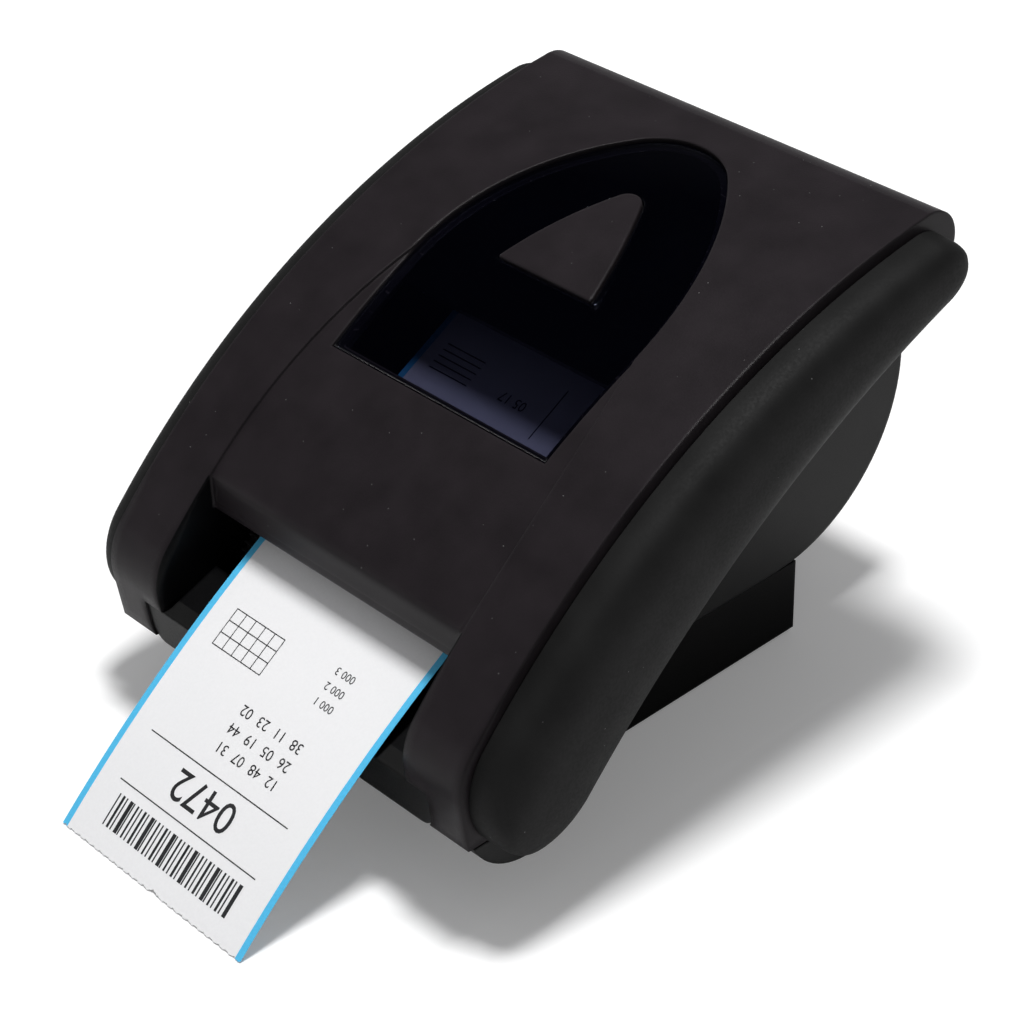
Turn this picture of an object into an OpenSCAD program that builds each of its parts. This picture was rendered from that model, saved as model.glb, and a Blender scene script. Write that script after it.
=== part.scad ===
// Desktop ticket printer: an arched lid over a roll housing, on a narrow pedestal.
// Millimetres. X runs to the right seen from the front, -Y is the front, Z is up.
// The origin is the middle of the face that the pedestal stands on.

/* [Lid] */
// Width of the lid across its two rails
lid_w = 150; // [140:1:165]
// Radius of the long arch, seen from the side
arch_r = 271.5; // [266:0.5:280]
// Height of the arch's crown
arch_top = 151.5; // [150:0.5:156]
// Distance of the arch's crown behind the middle of the pedestal
arch_y = 105; // [102:0.5:107]
// Distance of the lid's front from the middle of the pedestal
front_y = 102.3; // [100:0.1:106]
// Radius of the lid's front corner
front_r = 20; // [18:0.5:22]
// Lean of the two front legs
leg_tuck = 8; // [4:0.5:12]
// Height of the leg ends above the table
leg_z = 29; // [27:0.5:32]
// Wall of the lid
lid_wall = 2.5; // [2:0.1:3]
// Depth of the lid's side skirts
skirt_d = 10; // [8:0.5:11]
// Width of the paper mouth between the legs
mouth_w = 106; // [106:1:112]
// Distance of the mouth's upper edge behind the lid's front
mouth_in = 22.7; // [20:0.1:26]
// Height of the lip under the mouth's upper edge
mouth_lip = 10.5; // [8:0.5:11]
// Depth of the channel between the rails
channel_d = 0.8; // [0.6:0.1:1.2]
// Radius of the channel's flared sides
channel_r = 369; // [330:5:420]

/* [Hinge] */
// Radius of the rounded rear edge that the hinge runs in
nose_r = 11; // [10:0.5:11.5]
// Distance of the hinge behind the middle of the pedestal
hinge_y = 77; // [75:0.5:79]
// Radius of the hinge pins
pin_r = 3; // [2:0.5:4]
// Width of each hinge ear
ear_w = 5; // [4:0.5:7]

/* [Window and feed key] */
// Direction of the window's middle, seen from the arch's centre
window_a = 110.5; // [109.5:0.5:111.5]
// Length of the window along the arch
window_l = 112; // [106:1:114]
// Largest half-width of the window
window_hw = 44.5; // [42:0.5:46]
// How much narrower each side is at the window's front
window_taper = 1; // [0:0.5:3]
// Length of the window's straight part
window_straight = 38; // [34:1:42]
// Radius of the window's sides
window_side_r = 97; // [92:1:110]
// Radius of the window's tip
window_tip_r = 24.5; // [22:0.5:26]
// Thickness of the lens
lens_t = 2; // [1.5:0.1:2.5]
// Width of the ledge that the lens lies on
ledge_w = 2.5; // [2:0.5:4]
// Length of the mask behind the lens, from the window's tip
mask_l = 84; // [80:1:90]
// Half-width of the key at its base
key_hw = 18.2; // [16:0.2:19]
// Length of the key
key_l = 38.5; // [35:0.5:40]
// Distance of the key's base from the window's front
key_from_front = 47; // [46:0.5:49]
// Radius of the key's sides
key_side_r = 150; // [100:5:200]
// Radius of the key's tip
key_tip_r = 5; // [4:0.5:6]
// Travel of the key
key_travel = 1.5; // [1:0.1:2]

/* [Wings] */
// Set-back of a wing's upper edge from the lid's edge
wing_inset = 3.7; // [3.2:0.1:4.2]
// Set-back of a wing's front from the lid's front
wing_front_gap = 3; // [2.5:0.1:4]
// Radius of a wing's front end
wing_front_r = 22.4; // [21.5:0.1:23]
// Distance of a wing's rear end behind the middle of the pedestal
wing_rear_y = 84; // [82:0.5:86]
// Radius of a wing's rear end
wing_rear_r = 12; // [11:0.1:12.5]
// Radius of a wing's hollow lower edge
wing_low_r = 376; // [360:1:395]
// Bulge of a wing
wing_t = 13.4; // [11:0.1:15]

/* [Lower case] */
// Wall of the lower case
case_wall = 2.5; // [2:0.1:3]
// Radius of the belly under the front
belly_r = 21.7; // [21.2:0.1:23]
// Height of the belly's middle
belly_z = 37; // [36:0.5:38]
// Distance of the belly's middle behind the lid's front
belly_in = 24.3; // [23.8:0.1:25]
// Height of the front lip
lip_h = 12; // [10:0.5:12]
// Half-width of the front lip, which laps the inner corners of the legs
lip_x = 60.5; // [58:0.5:62]
// Radius of the front lip's lower corners
lip_r = 5; // [3:0.5:7]
// Radius of the roll housing
barrel_r = 53; // [52:0.5:53.5]
// Distance of the roll behind the middle of the pedestal
barrel_y = 54; // [53:0.5:55]

/* [Pedestal] */
// Depth of the pedestal
base_d = 125; // [116:1:130]
// Height of the pedestal
base_h = 26; // [24:0.5:26.5]
// Wall of the pedestal
base_wall = 2.5; // [2:0.1:3.5]
// Thickness of the rubber mat
mat_t = 1.2; // [0.8:0.1:2]

/* [Ticket roll] */
// Width of the ticket paper
ticket_w = 80; // [76:1:81]
// Radius of the roll
roll_r = 46; // [43:0.5:48]
// Wall of the roll's core
core_t = 1.5; // [1:0.1:3]
// Radius of the spindle
spindle_r = 6.3; // [5.5:0.1:9]
// Thickness of the paper
paper_t = 0.25; // [0.15:0.05:0.4]
// Radius of the hanging ticket's curl
ticket_curl = 440; // [380:10:800]

/* [Mechanism] */
// Distance of the print line in front of the middle of the pedestal
nip_y = 58; // [57:0.5:59]
// Height of the print line
nip_z = 69.7; // [69:0.1:70.5]
// Radius of the platen
platen_r = 8; // [7:0.1:8.4]
// Radius of the platen's shaft
shaft_r = 3; // [2.5:0.1:3.5]
// Thickness of the mechanism's sheet metal
sheet_t = 1.5; // [1:0.1:2]
// Module of the gears
gear_m = 0.8; // [0.7:0.02:0.82]
// Width of the gears
gear_w = 4; // [3:0.5:4.5]
// Teeth of the motor pinion
pinion_n = 14; // [12:1:15]
// Teeth of the idler, an even number
idler_n = 20; // [18:2:22]
// Teeth of the platen gear
platen_n = 28; // [26:1:29]
// Direction from the platen down to the motor
train_a = 240; // [238:0.5:242]
// Radius of the motor
motor_r = 10.5; // [9:0.5:10.5]
// Length of the motor
motor_l = 20; // [15:1:30]

/* [Hidden] */
$fn = 96;

// Gap between pieces that stay still beside each other
seat = 0.15;
// Gap between pieces that move past each other
run_gap = 0.4;
// Radial play of a pin or shaft in its bore
fit = 0.05;
// Gap between a wing and the lid's side
wing_gap = 0.3;

// Points in a side view are [y, z].
function along(p, a, d) = p + d * [cos(a), sin(a)];
function heading(p, q) = atan2(q.y - p.y, q.x - p.x);
// Where two circles meet, on the left or the right of the line between their centres
function meet(p, rp, q, rq, turn) =
  let (d = norm(q - p), a = (d * d + rp * rp - rq * rq) / (2 * d))
  along(along(p, heading(p, q), a), heading(p, q) + turn, sqrt(rp * rp - a * a));
// Height over y on the top of a circle
function top_of(c, r, y) = c.y + sqrt(r * r - pow(y - c.x, 2));
function arch_at(y, d) = top_of(arch_c, arch_r - d, y);

lid_x = lid_w / 2;
mouth_x = mouth_w / 2;
arch_c = [arch_y, arch_top - arch_r];
front_c = [front_r - front_y, arch_at(front_r - front_y, front_r)];
hinge_c = [hinge_y, arch_at(hinge_y, nose_r)];
front_a = heading(arch_c, front_c);
rear_a = heading(arch_c, hinge_c);
leg_a = 180 + leg_tuck;
far = 2 * arch_r;
// Neighbouring arcs run on past their shared point by this angle
lap_a = 0.15;
// A point on a leg's line at a height, set in by d
function leg_at(z, d) =
  let (p = along(front_c, leg_a, front_r - d))
  [p.x + (p.y - z) * tan(leg_tuck), z];
function leg_top(d) = leg_at(along(front_c, leg_a, front_r - d).y + 5 * lap_a, d);

// The narrow body round the ticket roll
side_gap = 1.5;
bay_x = ticket_w / 2 + side_gap;
base_x = bay_x + case_wall;
base_y = base_d / 2;
barrel_c = [barrel_y, base_h + seat + barrel_r];
bay_r = barrel_r - case_wall;
belly_c = [belly_in - front_y, belly_z];

// A wing's outline: two round ends, the upper edge along the arch and a hollow lower edge
wing_x = lid_x + wing_gap;
wing_front_y = wing_front_gap + wing_front_r - front_y;
wing_front_c = [wing_front_y, arch_at(wing_front_y, wing_inset + wing_front_r)];
wing_rear_c = [wing_rear_y - wing_rear_r, arch_at(wing_rear_y - wing_rear_r, wing_inset + wing_rear_r)];
wing_low_c = meet(wing_front_c, wing_low_r + wing_front_r, wing_rear_c, wing_low_r + wing_rear_r, -90);
// The case stays this far inside the wing's lower edge
case_hide = 3;
case_top = skirt_d + run_gap;
hinge_room = nose_r + run_gap;
case_low_r = wing_low_r + case_hide;
function case_mid(y) = (arch_at(y, case_top) + top_of(wing_low_c, case_low_r, y)) / 2;
wing_screw_at = [
  belly_c, [-15, case_mid(-15)], [barrel_y - 9, case_mid(barrel_y - 9)]
];
wing_pad_r = 4;
wing_screw_r = 1.2;

// A wing's rings run from the front tip to the rear tip, each from its upper to its lower edge.
wing_top_a = [heading(arch_c, wing_front_c), heading(arch_c, wing_rear_c)];
wing_low_a = [heading(wing_low_c, wing_front_c), heading(wing_low_c, wing_rear_c)];
wing_tip_a = [(wing_top_a[0] + wing_low_a[0] + 180) / 2, (wing_top_a[1] + wing_low_a[1] - 180) / 2];
cap_steps = 6;
mid_steps = 22;
section_steps = 12;
function blend(a, b, k, n) = a + (b - a) * k / n;
function wing_edge(centre, r, a, turn) = [
  for (k = [1:cap_steps]) along(wing_front_c, blend(wing_tip_a[0], a[0] + turn, k, cap_steps), wing_front_r),
  for (k = [1:mid_steps - 1]) along(centre, blend(a[0], a[1], k, mid_steps), r),
  for (k = [cap_steps:-1:1]) along(wing_rear_c, blend(wing_tip_a[1], a[1] - turn, k, cap_steps), wing_rear_r)
];
// How far a ring stands out at v across it: fullest a little below its middle, less where it is narrow
function bulge(v, chord) =
  let (full = min(1, chord / (2 * wing_front_r)), w = 2 * pow(v, 0.78) - 1)
  wing_t * (0.78 + 0.22 * full) * sqrt(1 - pow(1 - full, 4)) * sqrt(1 - w * w);

// The web runs straight from the roll to the print line, then curls down to the table.
nip = [-nip_y, nip_z];
web_reach = norm(barrel_c - nip);
web_r = roll_r + seat;
web_a = heading(nip, barrel_c) + asin(web_r / web_reach);
web_l = sqrt(pow(web_reach, 2) - pow(web_r, 2));
curl_c = along(nip, web_a - 90, ticket_curl);
curl_end_a = 180 - asin((seat - curl_c.y) / ticket_curl);

spindle_end_r = spindle_r - 2;
slot_d = case_wall - 1;

// Axes of the drive
platen_c = along(nip, web_a - 90, platen_r + 2 * fit);
idler_c = along(platen_c, train_a, gear_m * (platen_n + idler_n) / 2);
motor_c = along(idler_c, train_a, gear_m * (idler_n + pinion_n) / 2);
cheek_x = bay_x + 5;
gear_x = cheek_x + sheet_t + 0.5;
stud_r = 1.5;
bush_r = shaft_r + 2;
floor_z = belly_z - belly_r + case_wall + 3;
chute_t = 2;
// Front view of the lip, [x, z], grown by a gap
lip_z = leg_z - 1.5;
lip_top = leg_z + lip_h;
lip_steps = 6;
function lip_corner(side, grow) = [
  for (k = [0:lip_steps]) let (a = 90 * k / lip_steps)
    [side * (lip_x - lip_r + (lip_r + grow) * cos(a)), lip_z + lip_r - (lip_r + grow) * sin(a)]
];
function lip_outline(grow) = concat(
  [[-lip_x - grow, lip_top + grow]], lip_corner(-1, grow),
  [for (k = [lip_steps:-1:0]) lip_corner(1, grow)[k]], [[lip_x + grow, lip_top + grow]]
);
chute_end = along(platen_c, 216, platen_r + 5);

// The mouth's upper edge, on the floor of the channel
mouth_a = acos((mouth_in - front_y - arch_c.x) / (arch_r - channel_d));
lip_p = along(arch_c, mouth_a, arch_r - channel_d);

// Depths along the window's normal, from the lid's surface
lens_d = channel_d;
ledge_d = lens_d + lens_t;
mask_d = ledge_d + 2;
guide_d = mask_d + 3;
key_top = lens_d - 0.3;
key_gap = 0.3;
key_flange = 1.2;
flange_d = guide_d + run_gap;
key_foot_d = flange_d + 1.5;
switch_d = key_foot_d + key_travel + run_gap;
board_t = 1.6;
board_d = switch_d + 2.5;
key_u = key_from_front - window_l / 2;
neck_u = window_straight - window_l / 2;
board_posts = [[-key_hw - 4, key_u + 5], [key_hw + 4, key_u + 5], [0, key_u + key_l + 6]];
post_r = 2;

// Head and its carrier, from the print line: y back along the web, z away from the platen
head_gap = paper_t + seat;
head_y = [-5, 15];
head_top = 6;
head_x = ticket_w / 2 + 2;
head_pin_at = [12, 7];
head_pin_r = 1.5;
carrier_z = 11;
carrier_y = [-9, 18];
carrier_x = head_x + 2.2;

// Rear panel of the pedestal, and the board behind it
plate_t = 2;
board_z = mat_t + plate_t + 4;
inlet_size = [10, 14, 11];
port_size = [12, 16, 11];
switch_size = [15, 12, 12];
inlet_x = -30;
port_x = -10;
switch_x = 24;
panel_z = board_z + board_t;
switch_wall = 1.2;
rocker_r = 5.4;
rocker_pin_r = 1;
rocker_tilt = 16;
rocker_c = [base_y - 2.5, panel_z + switch_size.z / 2];
screw_x = base_x - base_wall - 4;
screw_y = base_y - base_wall - 4;
boss_r = 3.5;
screw_bite = 6;
board_room = 9;
screw_at = [for (x = [-screw_x, screw_x], y = [-0.79 * screw_y, 0.61 * screw_y]) [x, y]];
stand_at = [for (x = [-0.55 * base_x, 0.55 * base_x], y = [-0.48 * base_y, 0.56 * base_y]) [x, y]];

// Sweeps a side view across the part, from one X to another
module across(x0, x1) {
  translate([x0, 0, 0]) rotate([90, 0, 90]) linear_extrude(x1 - x0) children();
}

// Sweeps a front view back through the part, from one Y to another
module facing(y0, y1) {
  translate([0, y1, 0]) rotate([90, 0, 0]) linear_extrude(y1 - y0) children();
}

module rod(p, r, x0, x1) {
  translate([x0, p.x, p.y]) rotate([0, 90, 0]) cylinder(r = r, h = x1 - x0);
}

module both_sides() {
  children();
  mirror([1, 0, 0]) children();
}

// Places a drawing on the window: X across, Y back along the arch, Z out of it
module on_window() {
  p = along(arch_c, window_a, arch_r);
  translate([0, p.x, p.y]) rotate([window_a - 90, 0, 0]) children();
}

// Places a piece at the print line: Y back along the web, Z away from the platen
module at_nip() {
  translate([0, nip.x, nip.y]) rotate([web_a, 0, 0]) children();
}

// A box from its two corners
module block(p, q) {
  translate(p) cube(q - p);
}

module disc(p, r) {
  translate(p) circle(r, $fn = r > arch_r / 2 ? 360 : $fn);
}

module fan(p, a0, a1) {
  polygon([p, along(p, a0, far), along(p, (a0 + a1) / 2, far), along(p, a1, far)]);
}

module ring(p, r0, r1, a0, a1) {
  intersection() {
    difference() {
      disc(p, r1);
      disc(p, r0);
    }
    fan(p, a0, a1);
  }
}

// The lid's side line between two depths: the arch, then the front corner and the leg
module lid_arch(d0, d1) {
  ring(arch_c, arch_r - d1, arch_r - d0, front_a + lap_a, rear_a - lap_a);
}

module lid_front(d0, d1, end_z) {
  ring(front_c, front_r - d1, front_r - d0, front_a, leg_a + 20 * lap_a);
  polygon([leg_top(d0), leg_at(end_z, d0), leg_at(end_z, d1), leg_top(d1)]);
}

// An arch-shaped outline with a straight front edge, round sides and a round tip
module arch_outline(hw, front_hw, straight, length, side_r, tip_r, grow) {
  tip = [0, length - tip_r];
  side = meet([hw, straight], side_r, tip, side_r - tip_r, 90);
  tip_u = along(tip, heading(side, tip), tip_r + grow).y;
  lap = 0.4;
  disc(tip, tip_r + grow);
  polygon([
    [-front_hw - grow, -grow], [front_hw + grow, -grow],
    [hw + grow - lap / 10, straight], [lap / 10 - hw - grow, straight]
  ]);
  intersection() {
    disc(side, side_r + grow);
    disc([-side.x, side.y], side_r + grow);
    translate([-hw - grow, straight - lap]) square([2 * (hw + grow), tip_u - straight + lap]);
  }
}

module window_outline(grow) {
  translate([0, -window_l / 2])
    arch_outline(
      window_hw, window_hw - window_taper, window_straight, window_l, window_side_r, window_tip_r, grow
    );
}

module key_outline(grow) {
  translate([0, key_u])
    arch_outline(key_hw, key_hw, 1, key_l, key_side_r, key_tip_r, grow);
}

// The channel between the rails, flaring from the window's sides to the mouth
module channel_outline(grow) {
  reach = sqrt(pow(channel_r, 2) - pow(channel_r - mouth_x + window_hw, 2));
  intersection() {
    disc([mouth_x - channel_r, neck_u - reach], channel_r + grow);
    disc([channel_r - mouth_x, neck_u - reach], channel_r + grow);
    translate([-lid_x, neck_u - 0.3 - arch_r]) square([lid_w, arch_r]);
  }
}

// A prism through the lid along the window's normal, between two depths under the arch
module through_lid(d0, d1) {
  intersection() {
    on_window() translate([0, 0, -60]) linear_extrude(80) children();
    across(-lid_x, lid_x) ring(arch_c, arch_r - d1, arch_r - d0, mouth_a, rear_a);
  }
}

// Everything inside the lid's outline, seen from the side, set in by d
module lid_fill(d) {
  intersection() {
    disc(arch_c, arch_r - d);
    fan(arch_c, front_a + lap_a, rear_a - lap_a);
  }
  disc(front_c, front_r - d);
  polygon([
    front_c, leg_top(d), leg_at(leg_z - d, d), [front_c.x, leg_z - d]
  ]);
  disc(hinge_c, nose_r);
}

// The front part of the lid's inside, down to a height
module lid_nose(d, depth, end_z) {
  intersection() {
    lid_fill(d);
    translate([-2 * front_y, end_z]) square([front_y + depth, arch_top]);
  }
}

module top_cover() {
  tube_x = lid_x - lid_wall - ear_w - 2 * run_gap;
  cheek = mouth_x + lid_wall;
  depth = front_y / 3;
  color("#232122") difference() {
    union() {
      difference() {
        union() {
          across(-lid_x, lid_x) {
            lid_arch(0, skirt_d);
            lid_front(0, skirt_d, leg_z);
            disc(hinge_c, nose_r);
          }
          across(-cheek, cheek) lid_nose(lid_wall / 2, depth, leg_z);
        }
        // Hollow between the skirts, the cheeks of the mouth and the rear tube
        across(lid_wall - lid_x, lid_x - lid_wall) difference() {
          lid_arch(lid_wall, skirt_d + 10);
          lid_nose(-1, depth, 0);
          disc(hinge_c, nose_r);
        }
        both_sides() across(cheek, lid_x - lid_wall) lid_nose(lid_wall, depth + 1, 0);
        across(-mouth_x, mouth_x) {
          lid_nose(lid_wall, depth + 1, 0);
          fan(arch_c, mouth_a, 170);
        }
        rod(hinge_c, nose_r - lid_wall, lid_wall - lid_x, lid_x - lid_wall);
        // The rear tube is open below and in front beside the hinge ears
        both_sides() across(tube_x, lid_x - lid_wall) intersection() {
          disc(hinge_c, hinge_room);
          translate(hinge_c) rotate(-45) translate([-arch_r, -arch_r]) square([2 * arch_r, arch_r]);
        }
      }
      // Bed under the channel and the window
      through_lid(lid_wall / 2, mask_d) {
        channel_outline(lid_wall);
        window_outline(lid_wall);
      }
      across(-mouth_x - 1, mouth_x + 1) polygon([
        lip_p, lip_p - [0, mouth_lip], lip_p + [lid_wall, -mouth_lip], lip_p + [lid_wall, 0]
      ]);
      // Posts for the head carrier
      intersection() {
        both_sides() at_nip() for (y = [carrier_y[0] + 4, carrier_y[1] - 4])
          translate([carrier_x - 6, y, carrier_z + sheet_t]) cylinder(r = post_r, h = 30);
        across(-lid_x, lid_x) disc(arch_c, arch_r - mask_d + 1);
      }
    }
    through_lid(-1, channel_d) channel_outline(0);
    // The legs' inner corners give way to the front lip
    facing(-2 * front_y, 13 - front_y) polygon(lip_outline(run_gap));
    through_lid(-1, ledge_d) window_outline(seat);
    through_lid(-1, 2 * mask_d) window_outline(-ledge_w);
    rod(hinge_c, pin_r + fit, -lid_x - 1, lid_x + 1);
  }
}

module window() {
  color("#15161c") difference() {
    through_lid(lens_d, ledge_d) window_outline(0);
    through_lid(0, mask_d) key_outline(key_gap);
  }
}

module window_mask() {
  color("#0c0c0e") {
    difference() {
      through_lid(ledge_d + fit, mask_d) intersection() {
        window_outline(-ledge_w - seat);
        translate([-lid_x, window_l / 2 - mask_l]) square([lid_w, mask_l]);
      }
      through_lid(0, 2 * mask_d) key_outline(key_gap);
    }
    difference() {
      through_lid(mask_d - 0.5, guide_d) key_outline(key_gap + key_flange);
      through_lid(mask_d - 1, guide_d + 1) key_outline(key_gap);
    }
    // Posts of the key's board
    intersection() {
      on_window() for (p = board_posts) translate([p.x, p.y, -board_d]) cylinder(r = post_r, h = board_d);
      across(-lid_x, lid_x) disc(arch_c, arch_r - mask_d + 0.5);
    }
  }
}

module feed_key() {
  color("#262425") {
    through_lid(key_top, key_foot_d) key_outline(0);
    through_lid(flange_d, key_foot_d) key_outline(key_flange);
  }
}

module key_board() {
  edge = post_r + 2;
  p = board_posts[0] - [edge, edge];
  q = [board_posts[1].x + edge, board_posts[2].y + edge];
  color("#1d5a36") on_window() {
    block([p.x, p.y, -board_d - board_t], [q.x, q.y, -board_d]);
    translate([0, key_u + key_l / 3, -board_d]) {
      block([-3, -3, 0], [3, 3, 1.5]);
      cylinder(r = 1.75, h = board_d - switch_d);
    }
  }
}

// Hole of the head's pin, right across
module head_pin_hole() {
  translate([-lid_x, head_pin_at.x, head_pin_at.y]) rotate([0, 90, 0])
    cylinder(r = head_pin_r + fit, h = lid_w);
}

module head_carrier() {
  color("#8b8f94") at_nip() difference() {
    union() {
      block([-carrier_x, carrier_y[0], carrier_z], [carrier_x, carrier_y[1], carrier_z + sheet_t]);
      both_sides() block(
        [carrier_x - sheet_t, head_pin_at.x - 5, head_pin_at.y - 4],
        [carrier_x, carrier_y[1], carrier_z + sheet_t]
      );
    }
    head_pin_hole();
  }
}

module head_pin() {
  color("#b9bcc0") at_nip() translate([-carrier_x, head_pin_at.x, head_pin_at.y])
    rotate([0, 90, 0]) cylinder(r = head_pin_r, h = 2 * carrier_x);
}

module print_head() {
  lug_r = head_pin_r + 1.5;
  color("#a3a7ab") at_nip() difference() {
    union() {
      // Ceramic strip under a ribbed heat sink
      block([-head_x, head_y[0], head_gap + 0.2], [head_x, head_y[1] - 6, head_gap + 1]);
      block([-head_x, head_y[0], head_gap + 1], [head_x, head_y[1], head_top - 2]);
      for (k = [0:4]) translate([0, head_y[0] + 2.6 * k, 0])
        block([-head_x, 0, head_top - 2], [head_x, 1.4, head_top]);
      // Heater line
      translate([-ticket_w / 2, 0, head_gap + 0.5]) rotate([0, 90, 0]) cylinder(r = 0.5, h = ticket_w);
      both_sides() {
        translate([head_x - 4, head_pin_at.x, head_pin_at.y]) rotate([0, 90, 0]) cylinder(r = lug_r, h = 4);
        block(
          [head_x - 4, head_pin_at.x - lug_r, head_top - 3],
          [head_x, head_pin_at.x + lug_r, head_pin_at.y]
        );
      }
    }
    head_pin_hole();
  }
}

module head_spring() {
  leaf = 0.5;
  rise = 1.2;
  color("#c9ccd0") at_nip() for (s = [-1, 1]) translate([s * head_x / 2, 0, 0]) {
    block([-5, carrier_y[0], carrier_z - leaf], [5, carrier_y[0] + 8, carrier_z]);
    block([-5, carrier_y[0] + 8 - leaf, head_top + rise], [5, carrier_y[0] + 8, carrier_z - leaf]);
    block([-5, carrier_y[0] + 8 - leaf, head_top + rise], [5, head_y[1] - 8, head_top + rise + leaf]);
  }
}

module tear_bar() {
  pitch = 2;
  half = ticket_w / 2 + 2;
  teeth = [for (k = [-half:pitch:half - pitch]) each [[k, 0], [k + pitch / 2, -1.2]]];
  color("#c4c7cb") translate([0, lip_p.x + lid_wall + 0.8, lip_p.y - mouth_lip]) rotate([90, 0, 0])
    linear_extrude(0.8) polygon(concat(teeth, [[half, 0], [half, mouth_lip - 3.5], [-half, mouth_lip - 3.5]]));
}

module hinge_pins() {
  color("#b0b3b8") both_sides()
    rod(hinge_c, pin_r, lid_x - lid_wall - run_gap - ear_w, lid_x);
}

// Side view of the lower case: the band under the lid's skirts, and the belly under the mouth
module case_side(inset) {
  low_r = case_low_r + inset;
  belly_edge = along(belly_c, -25, belly_r - inset - seat / 2);
  blend_y = 38 - nip_y;
  difference() {
    union() {
      difference() {
        intersection() {
          disc(arch_c, arch_r);
          fan(arch_c, front_a + lap_a, rear_a - lap_a);
        }
        disc(wing_low_c, low_r);
      }
      disc(belly_c, belly_r - inset);
      polygon([
        belly_c, belly_edge, [blend_y - inset, top_of(wing_low_c, low_r, blend_y - inset) + seat / 2],
        [-nip_y, arch_at(-nip_y, front_r)], front_c
      ]);
    }
    // Room for the lid's skirts, legs and rear edge
    if (inset == 0) {
      lid_arch(-5, case_top);
      lid_front(-5, case_top, leg_z - run_gap);
      disc(hinge_c, hinge_room);
    }
  }
}

// The narrow body under it: the roll housing and its neck
module neck_side(inset) {
  difference() {
    intersection() {
      translate([inset - nip_y + 10, base_h - inset]) square([nip_y - 10 + barrel_y - inset, arch_top]);
      disc(wing_low_c, case_low_r + (inset > 0 ? 0 : case_wall / 2));
    }
    if (inset > 0) disc(barrel_c, barrel_r);
    case_side(inset > 0 ? 0 : case_wall);
  }
}

module lower_case() {
  bay_front = barrel_y - 1.3 * barrel_r;
  bay_rear = hinge_y - nose_r - 2;
  ear_x = lid_x - lid_wall - run_gap;
  color("#1f1f20") difference() {
    union() {
      difference() {
        across(-lid_x, lid_x) case_side(0);
        across(-lid_x + case_wall, lid_x - case_wall) {
          case_side(case_wall);
          translate([-front_y, belly_z]) square([front_y - nip_y, arch_top]);
        }
      }
      across(-base_x, base_x) {
        disc(barrel_c, barrel_r);
        neck_side(0);
      }
      // Front lip and the chute behind it
      intersection() {
        across(-lip_x, lip_x) polygon([
          leg_at(lip_z - 1, 0.6), leg_at(lip_top + 1, 0.6),
          leg_at(lip_top + 1, 0.6 + case_wall), leg_at(lip_z - 1, 0.6 + case_wall)
        ]);
        facing(-2 * front_y, belly_c.x) polygon(lip_outline(0));
      }
      across(-mouth_x + run_gap, mouth_x - run_gap) {
        polygon([
          leg_at(lip_top, 1.5), leg_at(lip_top, 20) + [0, 7],
          leg_at(lip_top, 20) + [0, 7 - chute_t], leg_at(lip_top - chute_t, 1.5)
        ]);
      }
      across(-cheek_x + run_gap, cheek_x - run_gap) polygon([
        leg_at(lip_top, 20) + [0, 7], chute_end,
        chute_end - [0, chute_t], leg_at(lip_top, 20) + [0, 7 - chute_t]
      ]);
      // Hinge ears, and bosses under the mechanism
      both_sides() {
        across(ear_x - ear_w, ear_x) {
          disc(hinge_c, pin_r + 3);
          ring(arch_c, arch_r - case_top - 7, arch_r - case_top, rear_a + 6, rear_a);
        }
        across(ear_x - ear_w, lid_x - case_wall / 2)
          ring(arch_c, arch_r - case_top - 7, arch_r - case_top, rear_a + 6, rear_a + 3.5);
        intersection() {
          for (y = [-6, 4])
            translate([cheek_x - 8, belly_c.x + y, belly_z - belly_r + 1])
              cylinder(r = boss_r, h = floor_z - belly_z + belly_r - 1);
          across(-lid_x, lid_x) disc(belly_c, belly_r - case_wall / 2);
        }
      }
    }
    // Roll bay, open to the top and the front
    rod(barrel_c, bay_r, -bay_x, bay_x);
    across(-bay_x, bay_x) {
      translate([bay_front, barrel_c.y]) square([bay_rear - bay_front, arch_top]);
      neck_side(case_wall);
    }
    across(-base_x - 1, base_x + 1) disc(hinge_c, hinge_room);
    // Slots in the inner faces that the spindle drops into
    across(-bay_x - slot_d, bay_x + slot_d) {
      disc(barrel_c, spindle_end_r + fit);
      translate([barrel_c.x - spindle_end_r - fit, barrel_c.y]) square([2 * (spindle_end_r + fit), arch_top]);
    }
    rod(hinge_c, pin_r, -lid_x, lid_x);
    for (p = wing_screw_at) rod(p, wing_screw_r + seat, -lid_x - 1, lid_x + 1);
  }
}

module wing_shell() {
  upper = wing_edge(arch_c, arch_r - wing_inset, wing_top_a, 0);
  lower = wing_edge(wing_low_c, wing_low_r, wing_low_a, 180);
  rows = len(upper);
  tips = [
    along(wing_front_c, wing_tip_a[0], wing_front_r), along(wing_rear_c, wing_tip_a[1], wing_rear_r)
  ];
  points = concat(
    [for (i = [0:rows - 1], j = [0:section_steps])
      let (v = j / section_steps, p = upper[i] + v * (lower[i] - upper[i]))
      [wing_x + bulge(v, norm(lower[i] - upper[i])), p.x, p.y]],
    [for (p = tips) [wing_x, p.x, p.y]]
  );
  w = section_steps + 1;
  first = rows * w;
  faces = concat(
    [for (i = [0:rows - 2], j = [0:section_steps - 1]) each [
      [i * w + j, (i + 1) * w + j, (i + 1) * w + j + 1], [i * w + j, (i + 1) * w + j + 1, i * w + j + 1]
    ]],
    [for (i = [0:rows - 2]) each [
      [i * w, i * w + section_steps, (i + 1) * w + section_steps],
      [i * w, (i + 1) * w + section_steps, (i + 1) * w]
    ]],
    [for (j = [0:section_steps - 1]) each [
      [first, j, j + 1], [first + 1, (rows - 1) * w + j + 1, (rows - 1) * w + j]
    ]],
    [[first, section_steps, 0], [first + 1, (rows - 1) * w, (rows - 1) * w + section_steps]]
  );
  polyhedron(points, faces);
}

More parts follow.
